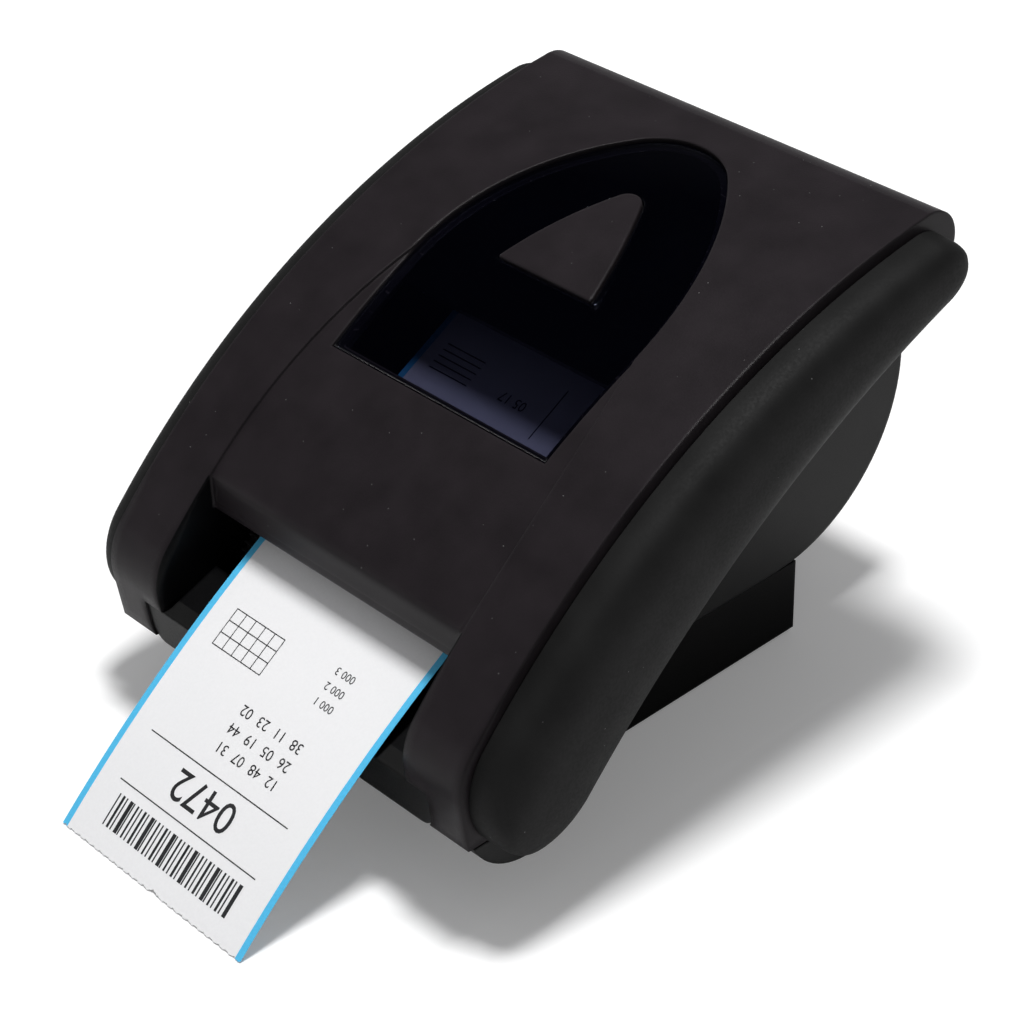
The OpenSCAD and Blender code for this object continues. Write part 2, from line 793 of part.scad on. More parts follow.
module wing() {
  color("#1e1e1e") difference() {
    union() {
      wing_shell();
      for (p = wing_screw_at) rod(p, wing_pad_r, lid_x, wing_x + 1);
    }
    for (p = wing_screw_at) rod(p, wing_screw_r, lid_x - 1, lid_x + wing_t / 2);
  }
}

module wing_left() {
  mirror([1, 0, 0]) wing();
}

module wing_right() {
  wing();
}

module wing_screws() {
  color("#6d7074") both_sides() for (p = wing_screw_at) {
    rod(p, wing_screw_r - fit, lid_x - case_wall, lid_x + wing_t / 2 - 0.5);
    rod(p, 2 * wing_screw_r, lid_x - case_wall - 1.5, lid_x - case_wall);
  }
}

module pedestal() {
  inner_x = base_x - base_wall;
  inner_y = base_y - base_wall;
  z0 = mat_t + plate_t;
  color("#161617") difference() {
    union() {
      difference() {
        block([-base_x, -base_y, mat_t], [base_x, base_y, base_h]);
        block([-inner_x, -inner_y, mat_t - 1], [inner_x, inner_y, base_h - base_wall]);
      }
      for (p = screw_at)
        translate([p.x, p.y, z0]) cylinder(r = boss_r, h = base_h - base_wall / 2 - z0);
    }
    rod(belly_c, belly_r + seat, -lid_x, lid_x);
    for (p = screw_at)
      translate([p.x, p.y, z0 - 1]) cylinder(r = 1.3, h = 9);
    panel_cut(inlet_x, inlet_size, seat);
    panel_cut(port_x, port_size, seat);
    panel_cut(switch_x, switch_size, seat);
  }
}

// A cut through the rear panel for a socket that stands on the board
module panel_cut(x, size, grow) {
  block(
    [x - size.x / 2 - grow, base_y - size.y, panel_z - grow],
    [x + size.x / 2 + grow, base_y + 1, panel_z + size.z + grow]
  );
}

module bottom_plate() {
  inner = base_wall + seat;
  color("#1b1b1c") difference() {
    union() {
      block([inner - base_x, inner - base_y, mat_t], [base_x - inner, base_y - inner, mat_t + plate_t]);
      for (p = stand_at)
        translate([p.x, p.y, mat_t + plate_t]) cylinder(r = 3, h = board_z - mat_t - plate_t);
    }
    for (p = screw_at)
      translate([p.x, p.y, 0]) cylinder(r = 1.5, h = base_h);
  }
}

module base_mat() {
  rim = base_wall + seat;
  color("#2a2a2b") difference() {
    block([rim - base_x, rim - base_y, 0], [base_x - rim, base_y - rim, mat_t]);
    for (p = screw_at)
      translate([p.x, p.y, -1]) cylinder(r = 4, h = base_h);
  }
}

module base_screws() {
  color("#6d7074") for (p = screw_at) translate([p.x, p.y, 0]) {
    translate([0, 0, mat_t - 0.8]) cylinder(r = 2.6, h = 0.8);
    translate([0, 0, mat_t]) cylinder(r = 1.2, h = plate_t + screw_bite);
  }
}

module circuit_board() {
  hx = base_x - base_wall - board_room;
  color("#1d5a36") {
    block([-hx, -0.64 * base_y, board_z], [hx, base_y - base_wall - 1, board_z + board_t]);
  }
  color("#202225") {
    block([-14, -20, panel_z], [4, -2, panel_z + 2]);
    block([12, -28, panel_z], [24, -20, panel_z + 1.5]);
    for (x = [-26, 16, 27]) translate([x, 18, panel_z]) cylinder(r = 4, h = 11);
    block([-30, -36, panel_z], [-10, -30, panel_z + 6]);
  }
}

module power_inlet() {
  color("#111112") difference() {
    block(
      [inlet_x - inlet_size.x / 2, base_y - inlet_size.y, panel_z],
      [inlet_x + inlet_size.x / 2, base_y - 0.4, panel_z + inlet_size.z]
    );
    translate([inlet_x, base_y + 1, panel_z + inlet_size.z / 2]) rotate([90, 0, 0]) cylinder(r = 3.2, h = 11);
  }
}

module data_port() {
  wall = 1.2;
  color("#b5b8bc") difference() {
    block(
      [port_x - port_size.x / 2, base_y - port_size.y, panel_z],
      [port_x + port_size.x / 2, base_y - 0.4, panel_z + port_size.z]
    );
    block(
      [port_x - port_size.x / 2 + wall, base_y - port_size.y + 4, panel_z + wall],
      [port_x + port_size.x / 2 - wall, base_y + 1, panel_z + port_size.z - wall]
    );
  }
}

module switch_frame() {
  wall = switch_wall;
  hx = switch_size.x / 2;
  color("#111112") difference() {
    union() {
      block([switch_x - hx, base_y - switch_size.y, panel_z], [switch_x + hx, base_y, panel_z + switch_size.z]);
      block(
        [switch_x - hx - 1, base_y, panel_z - 1],
        [switch_x + hx + 1, base_y + 1, panel_z + switch_size.z + 1]
      );
    }
    block(
      [switch_x - hx + wall, base_y - switch_size.y + wall, panel_z + wall / 2],
      [switch_x + hx - wall, base_y + 2, panel_z + switch_size.z - wall / 2]
    );
    rod(rocker_c, rocker_pin_r + fit, switch_x - hx + wall / 4, switch_x + hx - wall / 4);
  }
}

module power_switch() {
  half = switch_size.x / 2 - switch_wall - run_gap;
  r = rocker_r - run_gap;
  color("#1a1a1b") {
    across(switch_x - half, switch_x + half) intersection() {
      disc(rocker_c, r);
      translate(rocker_c) rotate(-rocker_tilt / 2)
        polygon([[-1.5, r], [4.4, r], [2.8, 0], [4.4, -r], [-1.5, -r]]);
    }
    rod(rocker_c, rocker_pin_r, switch_x - half - switch_wall, switch_x + half + switch_wall);
  }
}

module mech_cheek() {
  disc(platen_c, bush_r + 3);
  disc(motor_c, motor_r + 0.3);
  polygon([
    along(platen_c, train_a + 90, bush_r + 2), along(platen_c, train_a - 90, bush_r + 2),
    along(motor_c, train_a - 90, motor_r - 1), along(motor_c, train_a + 90, motor_r - 1)
  ]);
  translate([motor_c.x - motor_r, floor_z]) square([motor_r + 1, motor_c.y - floor_z]);
}

module mech_frame() {
  color("#9a9da1") difference() {
    union() {
      both_sides() across(cheek_x, cheek_x + sheet_t) mech_cheek();
      across(-cheek_x, cheek_x) translate([motor_c.x - motor_r, floor_z]) square([motor_r + 1, sheet_t]);
    }
    rod(platen_c, bush_r, -lid_x, lid_x);
    rod(motor_c, gear_m * pinion_n / 2, -lid_x, lid_x);
    rod(idler_c, stud_r, -lid_x, 0);
  }
}

module platen_bushes() {
  color("#b08d4a") both_sides() difference() {
    rod(platen_c, bush_r, cheek_x - 1.5, cheek_x + sheet_t);
    rod(platen_c, shaft_r + fit, 0, lid_x);
  }
}

module platen_shaft() {
  color("#b9bcc0") rod(platen_c, shaft_r, -gear_x - gear_w, cheek_x + sheet_t + 1);
}

module platen_rubber() {
  color("#2c2c2e") difference() {
    rod(platen_c, platen_r, -ticket_w / 2 - 2, ticket_w / 2 + 2);
    rod(platen_c, shaft_r, -lid_x, lid_x);
  }
}

// One tooth flank of an involute gear, from the root to the tip, as [radius, half-angle]
function flank(n, play) =
  let (r = gear_m * n / 2, base = r * cos(20), tip = r + gear_m, root = r - 1.25 * gear_m)
  let (half = 90 / n - play / r * 90 / PI, inv = tan(20) * 180 / PI - 20)
  [
    for (k = [0:4])
      let (q = max(base, root + (tip - root) * k / 4), a = acos(base / q))
      [root + (tip - root) * k / 4, half + inv - (tan(a) * 180 / PI - a)]
  ];

module gear(p, n, tooth_a, bore) {
  points = flank(n, 0.12);
  steps = len(points) - 1;
  across(-gear_x - gear_w, -gear_x) difference() {
    translate(p) polygon([
      for (t = [0:n - 1]) each [
        for (k = [0:steps]) along([0, 0], tooth_a + t * 360 / n - points[k][1], points[k][0]),
        for (k = [steps:-1:0]) along([0, 0], tooth_a + t * 360 / n + points[k][1], points[k][0])
      ]
    ]);
    disc(p, bore);
  }
}

module platen_gear() {
  color("#d8d4c8") gear(platen_c, platen_n, train_a, shaft_r);
}

module idler_gear() {
  color("#d8d4c8") gear(idler_c, idler_n, train_a + 180 / idler_n, stud_r + fit);
}

module motor_pinion() {
  color("#c9a24c") gear(motor_c, pinion_n, train_a + 180, 1);
}

module idler_stud() {
  color("#b9bcc0") {
    rod(idler_c, stud_r, -gear_x - gear_w - 0.4, -cheek_x);
    rod(idler_c, stud_r + 1, -gear_x - gear_w - 1, -gear_x - gear_w - 0.4);
  }
}

module stepper_motor() {
  color("#6f7377") {
    rod(motor_c, motor_r, -cheek_x, -cheek_x + motor_l);
    rod(motor_c, gear_m * pinion_n / 2 - fit, -cheek_x - sheet_t, -cheek_x);
    rod(motor_c, 1 - fit, -gear_x - gear_w - 0.5, -cheek_x - sheet_t);
  }
}

module paper_sensor() {
  color("#17181a") difference() {
    at_nip() block([-6, 28, -6], [6, 36, -1]);
    across(-lid_x, lid_x) disc(wing_low_c, case_low_r + case_wall);
  }
}

module roll_spindle() {
  color("#3a3a3c") {
    rod(barrel_c, spindle_r, -bay_x + 0.5, bay_x - 0.5);
    rod(barrel_c, spindle_end_r, -bay_x - slot_d + 0.2, bay_x + slot_d - 0.2);
  }
}

module roll_core() {
  color("#9b7b55") difference() {
    rod(barrel_c, spindle_r + fit + core_t, -ticket_w / 2, ticket_w / 2);
    rod(barrel_c, spindle_r + fit, -lid_x, lid_x);
  }
}

module ticket_roll() {
  color("#f1f1ef") difference() {
    rod(barrel_c, roll_r, -ticket_w / 2, ticket_w / 2);
    rod(barrel_c, spindle_r + fit + core_t, -lid_x, lid_x);
  }
}

module ticket_strip() {
  color("#f4f4f2") {
    at_nip() block([-ticket_w / 2, 0, 0], [ticket_w / 2, web_l, paper_t]);
    across(-ticket_w / 2, ticket_w / 2)
      ring(curl_c, ticket_curl, ticket_curl + paper_t, web_a + 90, curl_end_a);
  }
}

pedestal();
bottom_plate();
base_mat();
base_screws();
lower_case();
wing_left();
wing_right();
wing_screws();
circuit_board();
power_inlet();
data_port();
switch_frame();
power_switch();
mech_frame();
platen_bushes();
platen_shaft();
platen_rubber();
platen_gear();
idler_stud();
idler_gear();
stepper_motor();
motor_pinion();
paper_sensor();
roll_spindle();
roll_core();
ticket_roll();
ticket_strip();
hinge_pins();
top_cover();
window();
window_mask();
feed_key();
key_board();
head_carrier();
head_pin();
print_head();
head_spring();
tear_bar();
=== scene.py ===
"""Looks of a desktop ticket printer: moulded housing, soft wings, smoked window and printed ticket.

Lengths in the shape formulas are millimetres, as on the drawing. MM turns them into metres.
Sizes of finishes, and all values that a user may change, are metres.
"""

import math

import bmesh
import bpy
from bpy.props import (
    FloatProperty,
    FloatVectorProperty,
    IntProperty,
    PointerProperty,
    StringProperty,
)
from mathutils import Matrix, Vector


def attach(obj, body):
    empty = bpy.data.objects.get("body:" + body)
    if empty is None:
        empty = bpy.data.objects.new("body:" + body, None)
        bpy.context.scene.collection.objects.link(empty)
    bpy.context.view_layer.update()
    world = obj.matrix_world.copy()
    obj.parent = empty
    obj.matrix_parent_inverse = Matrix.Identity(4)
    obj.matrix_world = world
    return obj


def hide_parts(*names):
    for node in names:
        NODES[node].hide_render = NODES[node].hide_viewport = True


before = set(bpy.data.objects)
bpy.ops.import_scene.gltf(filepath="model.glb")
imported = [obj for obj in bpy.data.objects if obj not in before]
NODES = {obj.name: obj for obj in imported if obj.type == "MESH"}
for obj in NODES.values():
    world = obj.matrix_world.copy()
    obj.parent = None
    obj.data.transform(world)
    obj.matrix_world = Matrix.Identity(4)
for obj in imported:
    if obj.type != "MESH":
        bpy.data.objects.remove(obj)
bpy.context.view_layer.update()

bl_info = {
    "name": "Ticket printer looks",
    "version": (1, 0, 0),
    "blender": (4, 5, 0),
    "location": "View3D > Sidebar > Ticket printer",
    "description": "Finishes, soft wings, printed ticket and studio of a desktop ticket printer",
    "category": "Object",
}

MM = 0.001

# Side view: points are (y, z), and angles are degrees from the y axis.
ARCH_MIDDLE = (105.0, -120.0)  # of the lid's arch
ARCH_RADIUS = 271.5
NIP = (-58.0, 69.7)  # print line, where the head meets the platen
WEB_ANGLE = 29.065  # slope of the paper between the roll and the print line
WEB_LENGTH = 102.0

# Most of a noise lies within NOISE_RANGE.
NOISE_RANGE = (0.3, 0.7)
UNIT_RANGE = (0.0, 1.0)

# Surface detail.
MOTTLE_SIZE = 0.014
HAZE_SIZE = 0.02
FIBRE_SIZE = 0.0008
DUST_SPACING = 0.005
SPECK_RADIUS = 0.03  # as a share of the dust's spacing
MOULD_SPREAD = 0.06  # of the roughness, up and down
METAL_SPREAD = 0.08
BUMP_STRENGTH = 0.6
BEVEL_SAMPLES = 6


def colour(name, text, default):
    """A colour that a user may change."""
    return FloatVectorProperty(
        name=name, description=text, subtype="COLOR", size=3, min=0.0, max=1.0, default=default
    )


def length(name, text, default):
    """A length in metres that a user may change."""
    return FloatProperty(name=name, description=text, subtype="DISTANCE", unit="LENGTH", default=default)


def count(name, text, low, high, default):
    """A whole number that a user may change."""
    return IntProperty(name=name, description=text, min=low, max=high, default=default)


def power(name, text, default):
    """A lamp's power in watts that a user may change."""
    return FloatProperty(name=name, description=text, subtype="POWER", default=default)


def number(name, text, default):
    """A plain number that a user may change."""
    return FloatProperty(name=name, description=text, default=default)


class HousingFinish(bpy.types.PropertyGroup):
    """Colours and grain of the housing."""

    cover: colour("Lid", "Colour of the lid and the feed key", (0.0161, 0.0132, 0.0152))
    # Partly painted shade: the case and the pedestal are darker than the lid partly in their own plastic and
    # partly to stand in for the shade on their sides.
    case: colour("Lower case", "Colour of the roll housing", (0.0085, 0.0085, 0.0085))
    base: colour("Pedestal", "Colour of the pedestal", (0.0014, 0.0014, 0.0015))
    wing: colour("Wings", "Colour of the soft wings", (0.0086, 0.0086, 0.0086))
    lens: colour("Window", "Colour of the smoked window", (0.0004, 0.0005, 0.0016))
    lens_tint: colour("Window tint", "Tint of the light that passes the window", (0.86, 0.87, 1.0))
    lens_cover: FloatProperty(
        name="Window cover",
        description="How much of the light the window stops",
        subtype="FACTOR",
        min=0.0,
        max=1.0,
        default=0.46,
    )
    # Painted shade: a near-black laid inside the ticket mouth, where shade falls, darker than the plastic
    # there.
    hollow: colour("Hollow", "Colour inside the ticket mouth", (0.0012, 0.0012, 0.0016))
    dust: colour("Dust", "Colour of the dust specks", (0.16, 0.16, 0.16))
    edge_round: length("Edge round", "Radius that the light sees on moulded edges", 0.0013)
    soft_round: length("Soft round", "Radius that the light sees on the lid's front edges", 0.005)
    rim_round: length("Rim round", "Radius along the window's rim", 0.00095)
    grain: length("Grain", "Size of the moulded grain", 0.0005)


class WingShape(bpy.types.PropertyGroup):
    """Shape of the soft wings."""

    bulge: length("Bulge", "How far a wing stands out from the case", 0.01338)
    rings: count("Rings", "Rings along a wing's middle", 20, 200, 88)
    cap_rings: count("End rings", "Rings round each end", 6, 60, 24)
    steps: count("Steps", "Steps across a wing", 8, 80, 40)


class TicketPrint(bpy.types.PropertyGroup):
    """Size and print of the ticket."""

    width: length("Width", "Width of the ticket", 0.080)
    stripe: length("Stripe", "Width of the coloured stripe along each edge", 0.0022)
    paper: colour("Paper", "Colour of the paper", (0.91, 0.91, 0.92))
    stripe_colour: colour("Stripe colour", "Colour of the edge stripes", (0.085, 0.56, 0.92))
    ink: colour("Ink", "Colour of the thermal print", (0.02, 0.02, 0.022))
    serial: StringProperty(name="Serial", description="Large number on the ticket", default="0472")


class StudioSet(bpy.types.PropertyGroup):
    """Light, floor and camera."""

    key_watts: power("Key light", "Power of the soft light overhead", 19.0)
    front_watts: power("Front light", "Power of the soft light in front", 0.25)
    fill: number("Fill", "Strength of the light from all round", 0.46)
    floor_glow: number("Floor lift", "Lift of the floor to white", 0.15)
    far_glow: number("Far lift", "Lift of the floor away from the lamps", 0.82)
    lens_mm: number("Lens", "Focal length of the camera in millimetres", 97.66)


def link(tree, source, target):
    """Joins two sockets."""
    tree.links.new(source, target)


def new_material(name):
    """An empty node material with its shader and the piece's own coordinates."""
    material = bpy.data.materials.new(name)
    material.use_nodes = True
    tree = material.node_tree
    shader = tree.nodes["Principled BSDF"]
    place = tree.nodes.new("ShaderNodeTexCoord")
    return material, tree, shader, place.outputs["Object"]


def noise(tree, place, size, detail=3.0):
    """Noise whose cells have a real size in metres."""
    node = tree.nodes.new("ShaderNodeTexNoise")
    node.inputs["Scale"].default_value = 1.0 / size
    node.inputs["Detail"].default_value = detail
    link(tree, place, node.inputs["Vector"])
    return node.outputs["Fac"]


def ramp(tree, factor, stops):
    """A colour ramp with (position, colour) stops."""
    node = tree.nodes.new("ShaderNodeValToRGB")
    for k, (at, shade) in enumerate(stops):
        stop = node.color_ramp.elements[k] if k < 2 else node.color_ramp.elements.new(at)
        stop.position = at
        stop.color = (*shade, 1.0)
    link(tree, factor, node.inputs["Fac"])
    return node.outputs["Color"]


def mapped(tree, value, source, target):
    """Maps a value from one (low, high) range onto another."""
    node = tree.nodes.new("ShaderNodeMapRange")
    for side, known, wanted in zip(("Min", "Max"), source, target):
        node.inputs["From " + side].default_value = known
        node.inputs["To " + side].default_value = wanted
    link(tree, value, node.inputs["Value"])
    return node.outputs["Result"]


def spread(tree, factor, low, high):
    """Maps the middle of a noise onto a range."""
    return mapped(tree, factor, NOISE_RANGE, (low, high))


def shaded(tree, factor, dark, light):
    """A colour that goes from dark to light with a noise."""
    return ramp(tree, factor, tuple(zip(NOISE_RANGE, (dark, light))))


def scaled(shade, k):
    """A colour made lighter or darker."""
    return tuple(min(1.0, c * k) for c in shade)


def combined(tree, operation, first, second):
    """Two values put together by a Math node. The second may be a plain number."""
    node = tree.nodes.new("ShaderNodeMath")
    node.operation = operation
    link(tree, first, node.inputs[0])
    if isinstance(second, float):
        node.inputs[1].default_value = second
    else:
        link(tree, second, node.inputs[1])
    return node.outputs[0]


def folded(tree, operation, values):
    """Several values put together one after the other."""
    whole = values[0]
    for value in values[1:]:
        whole = combined(tree, operation, whole, value)
    return whole


def layered(tree, mask, under, over):
    """Lays a second colour, a socket or a plain colour, over a first where the mask is one."""
    mix = tree.nodes.new("ShaderNodeMix")
    mix.data_type = "RGBA"
    link(tree, mask, mix.inputs["Factor"])
    link(tree, under, mix.inputs["A"])
    if isinstance(over, bpy.types.NodeSocket):
        link(tree, over, mix.inputs["B"])
    else:
        mix.inputs["B"].default_value = (*over, 1.0)
    return mix.outputs["Result"]


def dusted(tree, place, tone, shade):
    """Lays sparse light specks over a colour."""
    cells = tree.nodes.new("ShaderNodeTexVoronoi")
    cells.inputs["Scale"].default_value = 1.0 / DUST_SPACING
    link(tree, place, cells.inputs["Vector"])
    speck = combined(tree, "LESS_THAN", cells.outputs["Distance"], SPECK_RADIUS)
    return layered(tree, speck, tone, shade)


def moulded(name, shade, rough, grain, depth, edge_round=0.0, level=0.5, mottle=0.15, dust=None):
    """Moulded plastic: grain in the surface, a faint mottle and softened edges.

    grain, depth and edge_round are metres, level is the strength of the gloss, mottle a share of the shade.
    """
    material, tree, shader, place = new_material(name)
    fine = noise(tree, place, grain, 4.0)
    broad = noise(tree, place, MOTTLE_SIZE, 2.0)
    tone = shaded(tree, broad, scaled(shade, 1.0 - mottle), scaled(shade, 1.0 + mottle))
    if dust:
        tone = dusted(tree, place, tone, dust)
    link(tree, tone, shader.inputs["Base Color"])
    gloss = spread(tree, fine, rough - MOULD_SPREAD, rough + MOULD_SPREAD)
    link(tree, gloss, shader.inputs["Roughness"])
    shader.inputs["Specular IOR Level"].default_value = level
    bump = tree.nodes.new("ShaderNodeBump")
    bump.inputs["Strength"].default_value = BUMP_STRENGTH
    bump.inputs["Distance"].default_value = depth
    link(tree, fine, bump.inputs["Height"])
    if edge_round:
        soft = tree.nodes.new("ShaderNodeBevel")
        soft.samples = BEVEL_SAMPLES
        soft.inputs["Radius"].default_value = edge_round
        link(tree, soft.outputs["Normal"], bump.inputs["Normal"])
    link(tree, bump.outputs["Normal"], shader.inputs["Normal"])
    return material


def metal(name, shade, rough, grain):
    """Machined or rolled metal with fine marks."""
    material, tree, shader, place = new_material(name)
    marks = noise(tree, place, grain, 5.0)
    link(tree, shaded(tree, marks, scaled(shade, 0.85), shade), shader.inputs["Base Color"])
    gloss = spread(tree, marks, rough - METAL_SPREAD, rough + METAL_SPREAD)
    link(tree, gloss, shader.inputs["Roughness"])
    shader.inputs["Metallic"].default_value = 1.0
    return material


def smoked(name, shade, tint, cover):
    """Glossy smoked moulding that lets some light through."""
    material, tree, shader, place = new_material(name)
    haze = noise(tree, place, HAZE_SIZE)
    link(tree, shaded(tree, haze, scaled(shade, 0.8), shade), shader.inputs["Base Color"])
    link(tree, spread(tree, haze, 0.02, 0.04), shader.inputs["Roughness"])
    shader.inputs["IOR"].default_value = 1.75
    clear = tree.nodes.new("ShaderNodeBsdfTransparent")
    link(tree, shaded(tree, haze, scaled(tint, 0.97), tint), clear.inputs["Color"])
    mix = tree.nodes.new("ShaderNodeMixShader")
    mix.inputs["Fac"].default_value = cover
    link(tree, clear.outputs["BSDF"], mix.inputs[1])
    link(tree, shader.outputs["BSDF"], mix.inputs[2])
    link(tree, mix.outputs["Shader"], tree.nodes["Material Output"].inputs["Surface"])
    return material


def split(tree, place):
    """The x, y and z of a place."""
    parts = tree.nodes.new("ShaderNodeSeparateXYZ")
    link(tree, place, parts.inputs["Vector"])
    return parts.outputs


def box_mask(tree, place, low, high):
    """One inside a box of the piece's own coordinates, nought outside."""
    sides = []
    for value, least, most in zip(split(tree, place), low, high):
        sides.append(combined(tree, "GREATER_THAN", value, least))
        sides.append(combined(tree, "LESS_THAN", value, most))
    return folded(tree, "MULTIPLY", sides)


def boxes_mask(tree, boxes):
    """One inside any of the boxes, nought outside them all."""
    place = tree.nodes.new("ShaderNodeTexCoord").outputs["Object"]
    return folded(tree, "MAXIMUM", [box_mask(tree, place, *box) for box in boxes])


def front_fade(tree, full, end):
    """One in front of y = full, falling to nought at y = end."""
    place = tree.nodes.new("ShaderNodeTexCoord").outputs["Object"]
    return mapped(tree, split(tree, place)["Y"], (end, full), UNIT_RANGE)


def soften(material, spots, radius):
    """Gives a moulded piece's edges a larger round in each (box, full, end) spot, fading out to the rear."""
    tree = material.node_tree
    soft = next(node for node in tree.nodes if node.type == "BEVEL")
    masks = []
    for box, full, end in spots:
        masks.append(combined(tree, "MULTIPLY", boxes_mask(tree, (box,)), front_fade(tree, full, end)))
    sizes = (soft.inputs["Radius"].default_value, radius)
    link(tree, mapped(tree, folded(tree, "MAXIMUM", masks), UNIT_RANGE, sizes), soft.inputs["Radius"])


def paint_mouth_shade(material, boxes, shade):
    """Paints shade into a moulded piece's hollows inside the boxes: a flat near-black where the shade falls.
    """
    tree = material.node_tree
    base = tree.nodes["Principled BSDF"].inputs["Base Color"]
    tone = base.links[0].from_socket
    link(tree, layered(tree, boxes_mask(tree, boxes), tone, shade), base)


def fibrous(tree, place):
    """Fine noise of paper fibres."""
    return noise(tree, place, FIBRE_SIZE, 5.0)


def plain_paper(name, shade):
    """Uncoated paper with a faint fibre mottle."""
    material, tree, shader, place = new_material(name)
    fibre = fibrous(tree, place)
    link(tree, shaded(tree, fibre, scaled(shade, 0.97), shade), shader.inputs["Base Color"])
    shader.inputs["Roughness"].default_value = 0.75
    return material


def striped_paper(name, shade, stripe_shade, edge):
    """Paper with a printed stripe along each edge, by the sheet's own UV map. edge is a share of the width."""
    material, tree, shader, place = new_material(name)
    sheet = tree.nodes.new("ShaderNodeUVMap")
    sheet.uv_map = "sheet"
    off = combined(tree, "SUBTRACT", split(tree, sheet.outputs["UV"])["X"], 0.5)
    away = tree.nodes.new("ShaderNodeMath")
    away.operation = "ABSOLUTE"
    link(tree, off, away.inputs[0])
    striped = combined(tree, "GREATER_THAN", away.outputs[0], 0.5 - edge)
    fibre = fibrous(tree, place)
    white = shaded(tree, fibre, scaled(shade, 0.97), shade)
    blue = shaded(tree, fibre, scaled(stripe_shade, 0.9), stripe_shade)
    link(tree, layered(tree, striped, white, blue), shader.inputs["Base Color"])
    shader.inputs["Roughness"].default_value = 0.6
    return material


def wear(material, *nodes):
    """Gives CAD pieces their finish."""
    for node in nodes:
        slots = NODES[node].data.materials
        slots.clear()
        slots.append(material)


def deselect():
    """Nothing stays selected."""
    if bpy.context.object and bpy.context.object.mode != "OBJECT":
        bpy.ops.object.mode_set(mode="OBJECT")
    bpy.ops.object.select_all(action="DESELECT")


def along(point, angle, distance):
    """A point in the side view, a distance away in a direction."""
    a = math.radians(angle)
    return (point[0] + distance * math.cos(a), point[1] + distance * math.sin(a))


def heading(p, q):
    """Direction from one point to another, in degrees."""
    return math.degrees(math.atan2(q[1] - p[1], q[0] - p[0]))


class PRINTER_OT_finish_housing(bpy.types.Operator):
    """Gives the lid, the case, the pedestal, the switch, the mask and the mat their finishes, and paints shade
    into the ticket mouth
    """

    bl_idname = "printer.finish_housing"
    bl_label = "Finish the housing"

    GRAIN_DEPTH = 0.00005

    # Corners of boxes round the hollow behind the front lip, where shade is painted in, in metres: in the
    # case, then in the lid.
    CASE_MOUTH_SHADE = (((-0.056, -0.0955, 0.030), (0.056, -0.050, 0.068)),)
    LID_MOUTH_SHADE = (
        ((-0.0534, -0.103, 0.030), (0.0534, -0.060, 0.0672)),
        ((-0.0534, -0.103, 0.030), (0.0534, -0.0802, 0.090)),
    )

    # The lid's front corner and the lip over the ticket: a box, and the y values that the round fades between.
    SOFT_EDGES = (
        (((-0.080, -0.104, 0.028), (0.080, -0.084, 0.080)), -0.094, -0.0845),
        (((-0.0515, -0.0815, 0.070), (0.0515, -0.073, 0.090)), -0.0785, -0.0735),
    )

    def execute(self, context):
        look = context.scene.housing_finish
        shared = {"grain": look.grain, "depth": self.GRAIN_DEPTH, "edge_round": look.edge_round}
        cover = moulded("moulded_cover", look.cover, rough=0.37, level=0.13, dust=look.dust, **shared)
        # Painted shade in part: the case and the pedestal take darker colours for the shade on their sides.
        case = moulded("moulded_case", look.case, rough=0.45, level=0.15, **shared)
        base = moulded("moulded_base", look.base, rough=0.5, level=0.08, **shared)
        switch = moulded(
            "switch_plastic", (0.012, 0.012, 0.0125),
            rough=0.3, grain=0.001, depth=0.00001, edge_round=0.0004, level=0.4,
        )
        mask = moulded(
            "black_mask", (0.0006, 0.0006, 0.001), rough=0.4, grain=0.002, depth=0.00001, level=0.1
        )
        mat = moulded("rubber_mat", (0.012, 0.012, 0.012), rough=0.85, grain=0.0012, depth=0.0002)
        soften(cover, self.SOFT_EDGES, look.soft_round)
        # Painted shade: the hollow of the ticket mouth in the lid and the case gets a flat near-black.
        paint_mouth_shade(cover, self.LID_MOUTH_SHADE, look.hollow)
        paint_mouth_shade(case, self.CASE_MOUTH_SHADE, look.hollow)
        wear(cover, "top_cover", "feed_key")
        wear(case, "lower_case")
        wear(base, "pedestal", "bottom_plate")
        wear(switch, "switch_frame", "power_switch")
        wear(mask, "window_mask")
        wear(mat, "base_mat")
        return {"FINISHED"}


